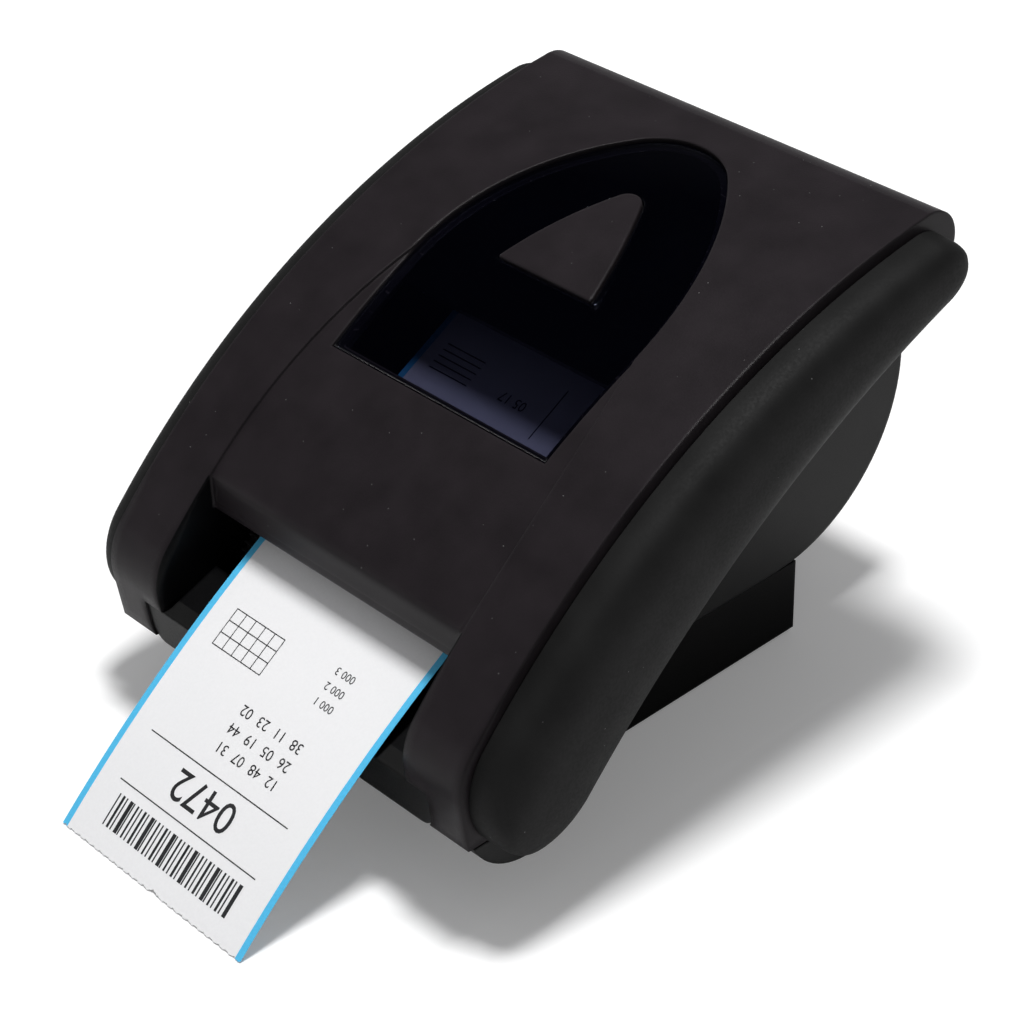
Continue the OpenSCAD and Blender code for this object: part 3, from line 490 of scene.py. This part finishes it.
class PRINTER_OT_make_window(bpy.types.Operator):
    """Makes the smoked window as a bent plate with a round rim and a hole for the feed key"""

    bl_idname = "printer.make_window"
    bl_label = "Make the window"

    DIRECTION = 110.5  # from the arch's middle to the window's middle
    LENGTH = 112.0
    DEPTH = 0.8  # of the window's face below the lid's
    THICK = 2.0
    KEY_START = 47.0  # from the window's front edge to the key's
    KEY_GAP = 0.3
    STRIP = 3.0  # length of the strips that follow the bend
    SIDE_STEPS = 40
    TIP_STEPS = 20
    MERGE_WITHIN = 1e-4
    CUT_WITHIN = 1e-5
    SMOOTH_BELOW = math.radians(40)

    def outline(self, half, front_half, straight, length, side_radius, tip_radius, start=0.0, grow=0.0):
        """An arch-shaped outline of (x, u) points, u running back along the lid from the window's middle.

        The sides run straight from front_half to half, bend in on side_radius and meet in a round tip.
        """
        tip = (0.0, length - tip_radius)
        corner = (half, straight)
        gap = math.dist(corner, tip)
        inner = side_radius - tip_radius
        reach = (side_radius ** 2 - inner ** 2 + gap ** 2) / (2 * gap)
        way = heading(corner, tip)
        side = along(along(corner, way, reach), way + 90, math.sqrt(side_radius ** 2 - reach ** 2))
        first, last = heading(side, corner), heading(side, tip)
        points = [(front_half + grow, -grow)]
        for k in range(self.SIDE_STEPS + 1):
            points.append(along(side, first + (last - first) * k / self.SIDE_STEPS, side_radius + grow))
        for k in range(1, self.TIP_STEPS):
            points.append(along(tip, last + (90 - last) * k / self.TIP_STEPS, tip_radius + grow))
        points.append((0.0, length + grow))
        points += [(-x, u) for x, u in reversed(points[:-1])]
        return [(x, start + u - self.LENGTH / 2) for x, u in points]

    def plate(self, outlines, rim):
        """A flat plate with round rims, in millimetres."""
        deselect()
        bpy.ops.curve.primitive_bezier_circle_add()
        plate = bpy.context.object
        shape = plate.data
        shape.splines.clear()
        for points in outlines:
            spline = shape.splines.new("POLY")
            spline.points.add(len(points) - 1)
            for point, (x, u) in zip(spline.points, points):
                point.co = (x, u, 0.0, 1.0)
            spline.use_cyclic_u = True
        shape.dimensions = "2D"
        shape.fill_mode = "BOTH"
        shape.extrude = self.THICK / 2 - rim
        shape.bevel_depth = rim
        shape.bevel_resolution = 1
        shape.offset = -rim
        bpy.ops.object.convert(target="MESH")
        return bpy.context.object

    def bend(self, plate):
        """Cuts the plate into strips and lays them on the arch."""
        mesh = bmesh.new()
        mesh.from_mesh(plate.data)
        bmesh.ops.remove_doubles(mesh, verts=mesh.verts, dist=self.MERGE_WITHIN)
        for k in range(1, int(self.LENGTH / self.STRIP)):
            bmesh.ops.bisect_plane(
                mesh, geom=mesh.verts[:] + mesh.edges[:] + mesh.faces[:], dist=self.CUT_WITHIN,
                plane_co=(0.0, k * self.STRIP - self.LENGTH / 2, 0.0), plane_no=(0.0, 1.0, 0.0),
            )
        for vertex in mesh.verts:
            x, u, h = vertex.co
            radius = ARCH_RADIUS - self.DEPTH - self.THICK / 2 + h
            y, z = along(ARCH_MIDDLE, self.DIRECTION, math.sqrt(radius * radius - u * u))
            y, z = along((y, z), self.DIRECTION - 90, u)
            vertex.co = Vector((x, y, z)) * MM
        bmesh.ops.recalc_face_normals(mesh, faces=mesh.faces)
        mesh.to_mesh(plate.data)
        mesh.free()
        bpy.ops.object.shade_smooth_by_angle(angle=self.SMOOTH_BELOW)
        even = plate.modifiers.new("Even normals", "WEIGHTED_NORMAL")
        even.keep_sharp = True
        bpy.ops.object.modifier_apply(modifier=even.name)

    def execute(self, context):
        look = context.scene.housing_finish
        window = self.outline(
            half=44.5, front_half=43.5, straight=38.0, length=self.LENGTH, side_radius=97.0, tip_radius=24.5
        )
        key_hole = self.outline(
            half=18.2, front_half=18.2, straight=1.0, length=38.5, side_radius=150.0, tip_radius=5.0,
            start=self.KEY_START, grow=self.KEY_GAP,
        )
        lens = self.plate((window, key_hole), look.rim_round / MM)
        lens.name = lens.data.name = "window_lens"
        self.bend(lens)
        lens.data.materials.clear()
        lens.data.materials.append(smoked("smoked_lens", look.lens, look.lens_tint, look.lens_cover))
        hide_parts("window")
        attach(lens, "lid")
        return {"FINISHED"}


class PRINTER_OT_finish_mechanism(bpy.types.Operator):
    """Gives the print mechanism, the roll and the electronics their finishes"""

    bl_idname = "printer.finish_mechanism"
    bl_label = "Finish the mechanism"

    # Name, colour, roughness, size of the marks in metres, and the CAD pieces that wear it.
    METALS = (
        ("bright_steel", (0.55, 0.56, 0.58), 0.32, 0.0006,
         ("platen_shaft", "head_pin", "hinge_pins", "idler_stud", "head_spring", "tear_bar")),
        ("zinc_screw", (0.36, 0.37, 0.39), 0.4, 0.0004, ("base_screws", "wing_screws")),
        ("folded_sheet", (0.5, 0.5, 0.5), 0.4, 0.001, ("mech_frame", "head_carrier")),
        ("sintered_brass", (0.62, 0.46, 0.2), 0.45, 0.0005, ("platen_bushes", "motor_pinion")),
        ("motor_can", (0.32, 0.32, 0.33), 0.42, 0.0008, ("stepper_motor",)),
        ("head_ceramic", (0.5, 0.47, 0.42), 0.5, 0.0009, ("print_head",)),
    )

    # Name, colour, roughness, size and depth of the grain in metres, mottle, and the CAD pieces that wear it.
    PLASTICS = (
        ("acetal", (0.02, 0.02, 0.021), 0.4, 0.0008, 0.00001, 0.15, ("platen_gear", "idler_gear")),
        ("platen_rubber", (0.02, 0.02, 0.021), 0.8, 0.0006, 0.00004, 0.15, ("platen_rubber",)),
        ("spindle_plastic", (0.04, 0.04, 0.042), 0.5, 0.0006, 0.00002, 0.15, ("roll_spindle",)),
        ("socket_plastic", (0.014, 0.014, 0.015), 0.45, 0.0006, 0.00002, 0.15,
         ("power_inlet", "data_port", "paper_sensor")),
        ("green_board", (0.012, 0.09, 0.035), 0.4, 0.002, 0.00001, 0.3, ("circuit_board", "key_board")),
    )

    CARD = (0.33, 0.21, 0.11)

    def execute(self, context):
        for name, shade, rough, grain, nodes in self.METALS:
            wear(metal(name, shade, rough, grain), *nodes)
        for name, shade, rough, grain, depth, mottle, nodes in self.PLASTICS:
            wear(moulded(name, shade, rough, grain, depth, mottle=mottle), *nodes)
        wear(plain_paper("card_core", self.CARD), "roll_core")
        wear(plain_paper("wound_paper", context.scene.ticket_print.paper), "ticket_roll")
        return {"FINISHED"}


class PRINTER_OT_make_wings(bpy.types.Operator):
    """Makes the two soft wings as smooth lofts between their upper and lower edges"""

    bl_idname = "printer.make_wings"
    bl_label = "Make the wings"

    FLANK = 75.3  # x of the case's flank
    INSET = 3.7  # of the upper edge below the arch
    FRONT_Y = -76.9  # middle of the front end's round
    FRONT_RADIUS = 22.4
    REAR_RADIUS = 12.0
    REAR_END = 84.0  # y of the rear end
    LOW_RADIUS = 376.0  # of the hollow lower edge

    # The section: below 1, LEAN moves the fullest line up. A FULLNESS of 2 is an ellipse, and more is fuller.
    LEAN = 0.78
    FULLNESS = 2.8

    # Where the wing is narrow, its bulge is END_SHARE and grows by END_GAIN to the full width.
    END_SHARE = 0.78
    END_GAIN = 0.22
    END_ROUND = 4

    MERGE_WITHIN = 2e-6
    SMOOTH_BELOW = math.radians(50)

    def edges(self, rings, caps):
        """Upper and lower edge points, from the front tip to the rear tip."""
        c = ARCH_MIDDLE

        def under_arch(y, d):
            """The point at y, a distance d below the arch."""
            return (y, c[1] + math.sqrt((ARCH_RADIUS - d) ** 2 - (y - c[0]) ** 2))

        front = under_arch(self.FRONT_Y, self.INSET + self.FRONT_RADIUS)
        rear = under_arch(self.REAR_END - self.REAR_RADIUS, self.INSET + self.REAR_RADIUS)
        p, q = self.LOW_RADIUS + self.FRONT_RADIUS, self.LOW_RADIUS + self.REAR_RADIUS
        gap = math.dist(front, rear)
        half = (gap * gap + p * p - q * q) / (2 * gap)
        way = heading(front, rear)
        low = along(along(front, way, half), way - 90, math.sqrt(p * p - half * half))
        top_a = (heading(c, front), heading(c, rear))
        low_a = (heading(low, front), heading(low, rear))
        tip_a = ((top_a[0] + low_a[0] + 180) / 2, (top_a[1] + low_a[1] - 180) / 2)

        def edge(middle, radius, a, turn):
            """One edge: round the front end, along the arc between the angles a, and round the rear end."""
            points = []
            for k in range(caps + 1):
                points.append(along(front, tip_a[0] + (a[0] + turn - tip_a[0]) * k / caps, self.FRONT_RADIUS))
            for k in range(1, rings):
                points.append(along(middle, a[0] + (a[1] - a[0]) * k / rings, radius))
            for k in range(caps, -1, -1):
                points.append(along(rear, tip_a[1] + (a[1] - turn - tip_a[1]) * k / caps, self.REAR_RADIUS))
            return points

        upper = edge(c, ARCH_RADIUS - self.INSET, top_a, 0)
        return upper, edge(low, self.LOW_RADIUS, low_a, 180)

    def stand_out(self, v, chord, bulge):
        """How far the wing stands out at v across a ring of that chord."""
        full = min(1.0, chord / (2 * self.FRONT_RADIUS))
        w = 2 * v ** self.LEAN - 1
        ends = self.END_SHARE + self.END_GAIN * full
        ends *= math.sqrt(max(0.0, 1 - (1 - full) ** self.END_ROUND))
        return bulge * ends * math.sqrt(max(0.0, 1 - abs(w) ** self.FULLNESS))

    def wing(self, name, side, shape):
        """One wing: a grid laid between the edges, closed by a flat back."""
        upper, lower = self.edges(shape.rings, shape.cap_rings)
        rows, steps = len(upper), shape.steps
        deselect()
        bpy.ops.mesh.primitive_grid_add(x_subdivisions=rows - 1, y_subdivisions=steps, size=1.0)
        wing = bpy.context.object
        wing.name = wing.data.name = name
        for vertex in wing.data.vertices:
            i = round((vertex.co.x + 0.5) * (rows - 1))
            j = round((vertex.co.y + 0.5) * steps)
            v = (1 - math.cos(math.pi * j / steps)) / 2
            (y0, z0), (y1, z1) = upper[i], lower[i]
            x = self.FLANK + self.stand_out(v, math.dist(upper[i], lower[i]), shape.bulge / MM)
            vertex.co = Vector((side * x, y0 + v * (y1 - y0), z0 + v * (z1 - z0))) * MM
        bpy.ops.object.mode_set(mode="EDIT")
        bpy.ops.mesh.select_all(action="SELECT")
        bpy.ops.mesh.remove_doubles(threshold=self.MERGE_WITHIN)
        bpy.ops.mesh.select_all(action="DESELECT")
        bpy.ops.mesh.select_non_manifold()
        bpy.ops.mesh.edge_face_add()
        bpy.ops.mesh.select_all(action="SELECT")
        bpy.ops.mesh.normals_make_consistent(inside=False)
        bpy.ops.object.mode_set(mode="OBJECT")
        bpy.ops.object.shade_smooth_by_angle(angle=self.SMOOTH_BELOW)
        return wing

    def execute(self, context):
        look = context.scene.housing_finish
        soft = moulded(
            "soft_touch", look.wing, rough=0.62, grain=0.0009, depth=0.00003,
            level=0.13, mottle=0.2, dust=look.dust,
        )
        for name, node, side in (("wing_soft_left", "wing_left", -1), ("wing_soft_right", "wing_right", 1)):
            wing = self.wing(name, side, context.scene.wing_shape)
            wing.data.materials.append(soft)
            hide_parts(node)
            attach(wing, "base")
        return {"FINISHED"}


class PRINTER_OT_make_ticket(bpy.types.Operator):
    """Makes the ticket with its edge stripes and its print"""

    bl_idname = "printer.make_ticket"
    bl_label = "Make the ticket"

    CURL_RADIUS = 440.0
    CURL_START = 119.065  # from the curl's middle to the print line
    CURL_END = 134.28  # and to the torn end
    THICK = 0.12
    LIFT = 0.05  # of the print above the paper
    ACROSS = 120
    DOWN = 160
    SMOOTH_BELOW = math.radians(40)

    # The torn end falls back by TORN_BACK, by waves of (height, turn, start) and by one nick.
    TORN_BACK = 0.45
    TORN_WAVES = ((0.25, 1.9, 0.0), (0.18, 4.7, 1.0))
    NICK_DEPTH = 0.9
    NICK_X = 2.0
    NICK_WIDTH = 1.2

    FONT_STEPS = 4
    BAR_LENGTH = 5  # of the pieces that follow the curl

    # Layout of the print: x across, UP from the torn end, ALONG from the print line.
    CODE_BARS = 34
    CODE_WIDTHS = (0.5, 0.9, 0.5, 1.4, 0.5, 0.7)
    CODE_X = -27
    CODE_PITCH = 1.62
    CODE_UP = (17, 7)
    SERIAL_UP = 33
    SERIAL_SIZE = 13
    RULE_HALF = 30
    RULE_THICK = 0.35
    RULES_UP = (20.5, 36.5)
    NUMBERS = ("12  48  07  31", "26  05  19  44", "38  11  23  02")
    NUMBERS_X = 6
    NUMBERS_UP = 45
    NUMBERS_PITCH = 6
    NUMBERS_SIZE = 4.6
    GRID_X = -30
    GRID_UP = 66
    GRID_CELL = (4.2, 4)
    GRID_CELLS = (5, 3)
    GRID_LINE = 0.3
    COUNTS = ("000 1", "000 2", "000 3")
    COUNTS_X = 16
    COUNTS_UP = 70
    COUNTS_PITCH = 5
    COUNTS_SIZE = 3.4
    LINES = 5
    LINES_X = (-33, -17)
    LINES_ALONG = -60
    LINES_PITCH = 2.2
    LINES_THICK = 0.4
    DATE = "05 17"
    DATE_ALONG = -55
    MARGIN_X = (13, 13.4)
    MARGIN_ALONG = (-64, -46)

    def on_sheet(self, x, s, out):
        """A point on the ticket: x across, s along from the print line, out from its face."""
        if s <= 0:
            y, z = along(along(NIP, WEB_ANGLE, -s), WEB_ANGLE + 90, out)
        else:
            middle = along(NIP, WEB_ANGLE - 90, self.CURL_RADIUS)
            y, z = along(middle, self.CURL_START + math.degrees(s / self.CURL_RADIUS), self.CURL_RADIUS + out)
        return Vector((x, y, z)) * MM

    def sheet_end(self):
        """Length from the print line to the torn end."""
        return math.radians(self.CURL_END - self.CURL_START) * self.CURL_RADIUS

    def torn_end(self, x):
        """How far the torn end edge falls back at x."""
        wave = sum(height * math.sin(turn * x + start) for height, turn, start in self.TORN_WAVES)
        nick = self.NICK_DEPTH * math.exp(-((x - self.NICK_X) / self.NICK_WIDTH) ** 2)
        return self.TORN_BACK + wave + nick

    def paper(self, look):
        """The sheet from the roll to the torn end, with its UV map and its thickness."""
        half = look.width / MM / 2
        end = self.sheet_end()
        deselect()
        bpy.ops.mesh.primitive_grid_add(x_subdivisions=self.ACROSS, y_subdivisions=self.DOWN, size=1.0)
        paper = bpy.context.object
        paper.name = paper.data.name = "ticket_paper"
        sheet = paper.data.uv_layers[0]
        sheet.name = "sheet"
        last_row = 1 - 0.5 / self.DOWN
        for vertex in paper.data.vertices:
            x = 2 * half * vertex.co.x
            t = 0.5 - vertex.co.y
            s = -WEB_LENGTH + t * (end + WEB_LENGTH)
            if t > last_row:
                s -= self.torn_end(x)
            vertex.co = self.on_sheet(x, s, self.THICK / 2)
        thick = paper.modifiers.new("Thickness", "SOLIDIFY")
        thick.thickness = self.THICK * MM
        thick.offset = 0.0
        bpy.ops.object.modifier_apply(modifier=thick.name)
        bpy.ops.object.shade_smooth_by_angle(angle=self.SMOOTH_BELOW)
        return paper

    def bar(self, x0, x1, s0, s1):
        """A printed bar on the flat ticket, cut into short lengths so that it can follow the curl."""
        bpy.ops.mesh.primitive_plane_add(size=1.0)
        bar = bpy.context.object
        for vertex in bar.data.vertices:
            vertex.co.x = x0 if vertex.co.x < 0 else x1
            vertex.co.y = s0 if vertex.co.y < 0 else s1
        cuts = int(abs(s1 - s0) / self.BAR_LENGTH)
        if cuts:
            bpy.ops.object.mode_set(mode="EDIT")
            bpy.ops.mesh.select_all(action="SELECT")
            bpy.ops.mesh.subdivide(number_cuts=cuts)
            bpy.ops.object.mode_set(mode="OBJECT")
        return bar

    def figures(self, text, x, s, size):
        """A row of figures on the flat ticket, read from the printer's side."""
        bpy.ops.object.text_add()
        row = bpy.context.object
        row.data.body = text
        row.data.size = size
        row.data.resolution_u = self.FONT_STEPS
        row.data.align_x = "CENTER"
        bpy.ops.object.convert(target="MESH")
        row = bpy.context.object
        for vertex in row.data.vertices:
            vertex.co = Vector((x - vertex.co.x, s + vertex.co.y, 0.0))
        return row

    def print_rows(self, look):
        """The print, laid out flat from the torn end upwards, and the print on the paper under the window."""
        pieces = []
        end = self.sheet_end()
        for k in range(self.CODE_BARS):
            x = self.CODE_X + self.CODE_PITCH * k
            wide = self.CODE_WIDTHS[k % len(self.CODE_WIDTHS)]
            pieces.append(self.bar(x, x + wide, end - self.CODE_UP[0], end - self.CODE_UP[1]))
        pieces.append(self.figures(look.serial, 0, end - self.SERIAL_UP, self.SERIAL_SIZE))
        for up in self.RULES_UP:
            pieces.append(self.bar(-self.RULE_HALF, self.RULE_HALF, end - up, end - up + self.RULE_THICK))
        for k, text in enumerate(self.NUMBERS):
            s = end - (self.NUMBERS_UP + self.NUMBERS_PITCH * k)
            pieces.append(self.figures(text, self.NUMBERS_X, s, self.NUMBERS_SIZE))
        wide, high = (cell * cells for cell, cells in zip(self.GRID_CELL, self.GRID_CELLS))
        foot = end - self.GRID_UP
        for k in range(self.GRID_CELLS[0] + 1):
            x = self.GRID_X + self.GRID_CELL[0] * k
            pieces.append(self.bar(x, x + self.GRID_LINE, foot - high, foot))
        for k in range(self.GRID_CELLS[1] + 1):
            s = foot - self.GRID_CELL[1] * k
            pieces.append(self.bar(self.GRID_X, self.GRID_X + wide + self.GRID_LINE, s, s + self.GRID_LINE))
        for k, text in enumerate(self.COUNTS):
            s = end - (self.COUNTS_UP + self.COUNTS_PITCH * k)
            pieces.append(self.figures(text, self.COUNTS_X, s, self.COUNTS_SIZE))
        for k in range(self.LINES):
            s = self.LINES_ALONG + self.LINES_PITCH * k
            pieces.append(self.bar(*self.LINES_X, s, s + self.LINES_THICK))
        pieces.append(self.figures(self.DATE, 0, self.DATE_ALONG, self.NUMBERS_SIZE))
        pieces.append(self.bar(*self.MARGIN_X, *self.MARGIN_ALONG))
        return pieces

    def ink(self, look):
        """The print as one piece, laid on the sheet."""
        deselect()
        pieces = self.print_rows(look)
        deselect()
        for piece in pieces:
            piece.select_set(True)
        bpy.context.view_layer.objects.active = pieces[0]
        bpy.ops.object.join()
        ink = bpy.context.object
        ink.name = ink.data.name = "ticket_print"
        for vertex in ink.data.vertices:
            vertex.co = self.on_sheet(vertex.co.x, vertex.co.y, self.THICK + self.LIFT)
        ink.matrix_world = Matrix.Identity(4)
        bpy.ops.object.mode_set(mode="EDIT")
        bpy.ops.mesh.select_all(action="SELECT")
        bpy.ops.mesh.normals_make_consistent(inside=False)
        bpy.ops.object.mode_set(mode="OBJECT")
        return ink

    def execute(self, context):
        look = context.scene.ticket_print
        paper = self.paper(look)
        paper.data.materials.append(
            striped_paper("striped_paper", look.paper, look.stripe_colour, look.stripe / look.width)
        )
        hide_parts("ticket_strip")
        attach(paper, "base")
        ink = self.ink(look)
        ink.data.materials.clear()
        ink.data.materials.append(
            moulded("thermal_ink", look.ink, rough=0.7, grain=0.0006, depth=0.00001, level=0.3, mottle=0.3)
        )
        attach(ink, "base")
        return {"FINISHED"}


class PRINTER_OT_set_stage(bpy.types.Operator):
    """Sets the floor, the soft light and the camera"""

    bl_idname = "printer.set_stage"
    bl_label = "Set the stage"

    CAMERA = (492.083, -461.966, 510.331)
    AZIMUTH = 47.604
    ELEVATION = 34.122
    ROLL = -1.585
    SENSOR_MM = 36.0
    CLIP = (0.01, 50.0)

    # Metres: the floor, the distances that its lift grows between, and each softbox's place and size.
    FLOOR_SIZE = 8.0
    LIFT_RANGE = (0.25, 1.0)
    OVERHEAD = ((0.05, 0.02, 1.5), 0.27)
    FRONT = ((-0.92, -1.18, 0.3), 0.25)

    FLOOR_SHADE = (0.9, 0.9, 0.9, 1.0)
    WHITE = (1.0, 1.0, 1.0, 1.0)

    # Shades of the room by height, from the horizon at 0 to overhead at 1: as a light, and in the gloss.
    WALLS = ((0.1, (0.5, 0.5, 0.5)), (0.6, (0.64, 0.64, 0.65)))
    MIRRORED = ((0.1, (0.6, 0.6, 0.6)), (0.5, (0.07, 0.07, 0.075)), (0.7, (0.004, 0.004, 0.005)))

    def floor(self, studio):
        """A pale floor that keeps the shadow and turns white to the camera further out."""
        deselect()
        bpy.ops.mesh.primitive_plane_add(size=self.FLOOR_SIZE)
        floor = bpy.context.object
        floor.name = floor.data.name = "studio_floor"
        material, tree, shader, place = new_material("pale_floor")
        shader.inputs["Base Color"].default_value = self.FLOOR_SHADE
        shader.inputs["Roughness"].default_value = 0.9
        shader.inputs["Specular IOR Level"].default_value = 0.0
        rays = tree.nodes.new("ShaderNodeLightPath")
        away = tree.nodes.new("ShaderNodeVectorMath")
        away.operation = "LENGTH"
        link(tree, place, away.inputs[0])
        lift = mapped(tree, away.outputs["Value"], self.LIFT_RANGE, (studio.floor_glow, studio.far_glow))
        glow = combined(tree, "MULTIPLY", rays.outputs["Is Camera Ray"], lift)
        shader.inputs["Emission Color"].default_value = self.WHITE
        link(tree, glow, shader.inputs["Emission Strength"])
        floor.data.materials.append(material)

    def world(self, studio):
        """A soft room: pale as a light, darker overhead in the gloss, white to the camera."""
        world = bpy.data.worlds.new("soft_studio")
        bpy.context.scene.world = world
        world.use_nodes = True
        tree = world.node_tree
        light = tree.nodes["Background"]
        place = tree.nodes.new("ShaderNodeTexCoord")
        height = split(tree, place.outputs["Generated"])["Z"]
        rays = tree.nodes.new("ShaderNodeLightPath")
        link(tree, ramp(tree, height, self.WALLS), light.inputs["Color"])
        light.inputs["Strength"].default_value = studio.fill
        dark = tree.nodes.new("ShaderNodeBackground")
        link(tree, ramp(tree, height, self.MIRRORED), dark.inputs["Color"])
        white = tree.nodes.new("ShaderNodeBackground")
        white.inputs["Color"].default_value = self.WHITE
        shown = light.outputs[0]
        for kind, other in (("Is Glossy Ray", dark), ("Is Camera Ray", white)):
            mix = tree.nodes.new("ShaderNodeMixShader")
            link(tree, rays.outputs[kind], mix.inputs["Fac"])
            link(tree, shown, mix.inputs[1])
            link(tree, other.outputs[0], mix.inputs[2])
            shown = mix.outputs[0]
        link(tree, shown, tree.nodes["World Output"].inputs["Surface"])

    def softbox(self, name, place, size, watts):
        """A square soft light that faces the printer."""
        bpy.ops.object.light_add(type="AREA", location=place)
        lamp = bpy.context.object
        lamp.name = lamp.data.name = name
        lamp.rotation_euler = (-Vector(place)).to_track_quat("-Z", "Y").to_euler()
        lamp.data.shape = "SQUARE"
        lamp.data.size = size
        lamp.data.energy = watts

    def camera(self, scene, studio):
        """The camera at the photograph's angle."""
        bpy.ops.object.camera_add(location=Vector(self.CAMERA) * MM)
        camera = bpy.context.object
        camera.name = "photo_camera"
        camera.rotation_euler = (
            Matrix.Rotation(math.radians(self.AZIMUTH), 3, "Z")
            @ Matrix.Rotation(math.radians(90 - self.ELEVATION), 3, "X")
            @ Matrix.Rotation(math.radians(self.ROLL), 3, "Z")
        ).to_euler()
        camera.data.lens = studio.lens_mm
        camera.data.sensor_width = self.SENSOR_MM
        camera.data.clip_start, camera.data.clip_end = self.CLIP
        scene.camera = camera

    def execute(self, context):
        studio = context.scene.studio_set
        context.scene.view_settings.view_transform = "Standard"
        self.floor(studio)
        self.world(studio)
        self.softbox("overhead_softbox", *self.OVERHEAD, studio.key_watts)
        self.softbox("front_softbox", *self.FRONT, studio.front_watts)
        self.camera(context.scene, studio)
        return {"FINISHED"}


STEPS = (
    PRINTER_OT_finish_housing,
    PRINTER_OT_make_window,
    PRINTER_OT_finish_mechanism,
    PRINTER_OT_make_wings,
    PRINTER_OT_make_ticket,
    PRINTER_OT_set_stage,
)
GROUPS = {
    "housing_finish": HousingFinish,
    "wing_shape": WingShape,
    "ticket_print": TicketPrint,
    "studio_set": StudioSet,
}


class PRINTER_PT_sidebar(bpy.types.Panel):
    """Lists the steps and the values of the printer's looks"""

    bl_idname = "PRINTER_PT_sidebar"
    bl_label = "Ticket printer"
    bl_space_type = "VIEW_3D"
    bl_region_type = "UI"
    bl_category = "Ticket printer"

    def draw(self, context):
        for group, kind in GROUPS.items():
            box = self.layout.box()
            for name in kind.__annotations__:
                box.prop(getattr(context.scene, group), name)
        for step in STEPS:
            self.layout.operator(step.bl_idname)


CLASSES = (*GROUPS.values(), *STEPS, PRINTER_PT_sidebar)


def register():
    """Registers the classes and hangs their values on the scene."""
    for kind in CLASSES:
        bpy.utils.register_class(kind)
    for name, kind in GROUPS.items():
        setattr(bpy.types.Scene, name, PointerProperty(type=kind))


def unregister():
    """Takes the values and the classes away again."""
    for name in GROUPS:
        delattr(bpy.types.Scene, name)
    for kind in reversed(CLASSES):
        bpy.utils.unregister_class(kind)


def main():
    """Runs every step in order."""
    register()
    for step in STEPS:
        group, name = step.bl_idname.split(".")
        getattr(getattr(bpy.ops, group), name)()


if __name__ == "__main__":
    main()
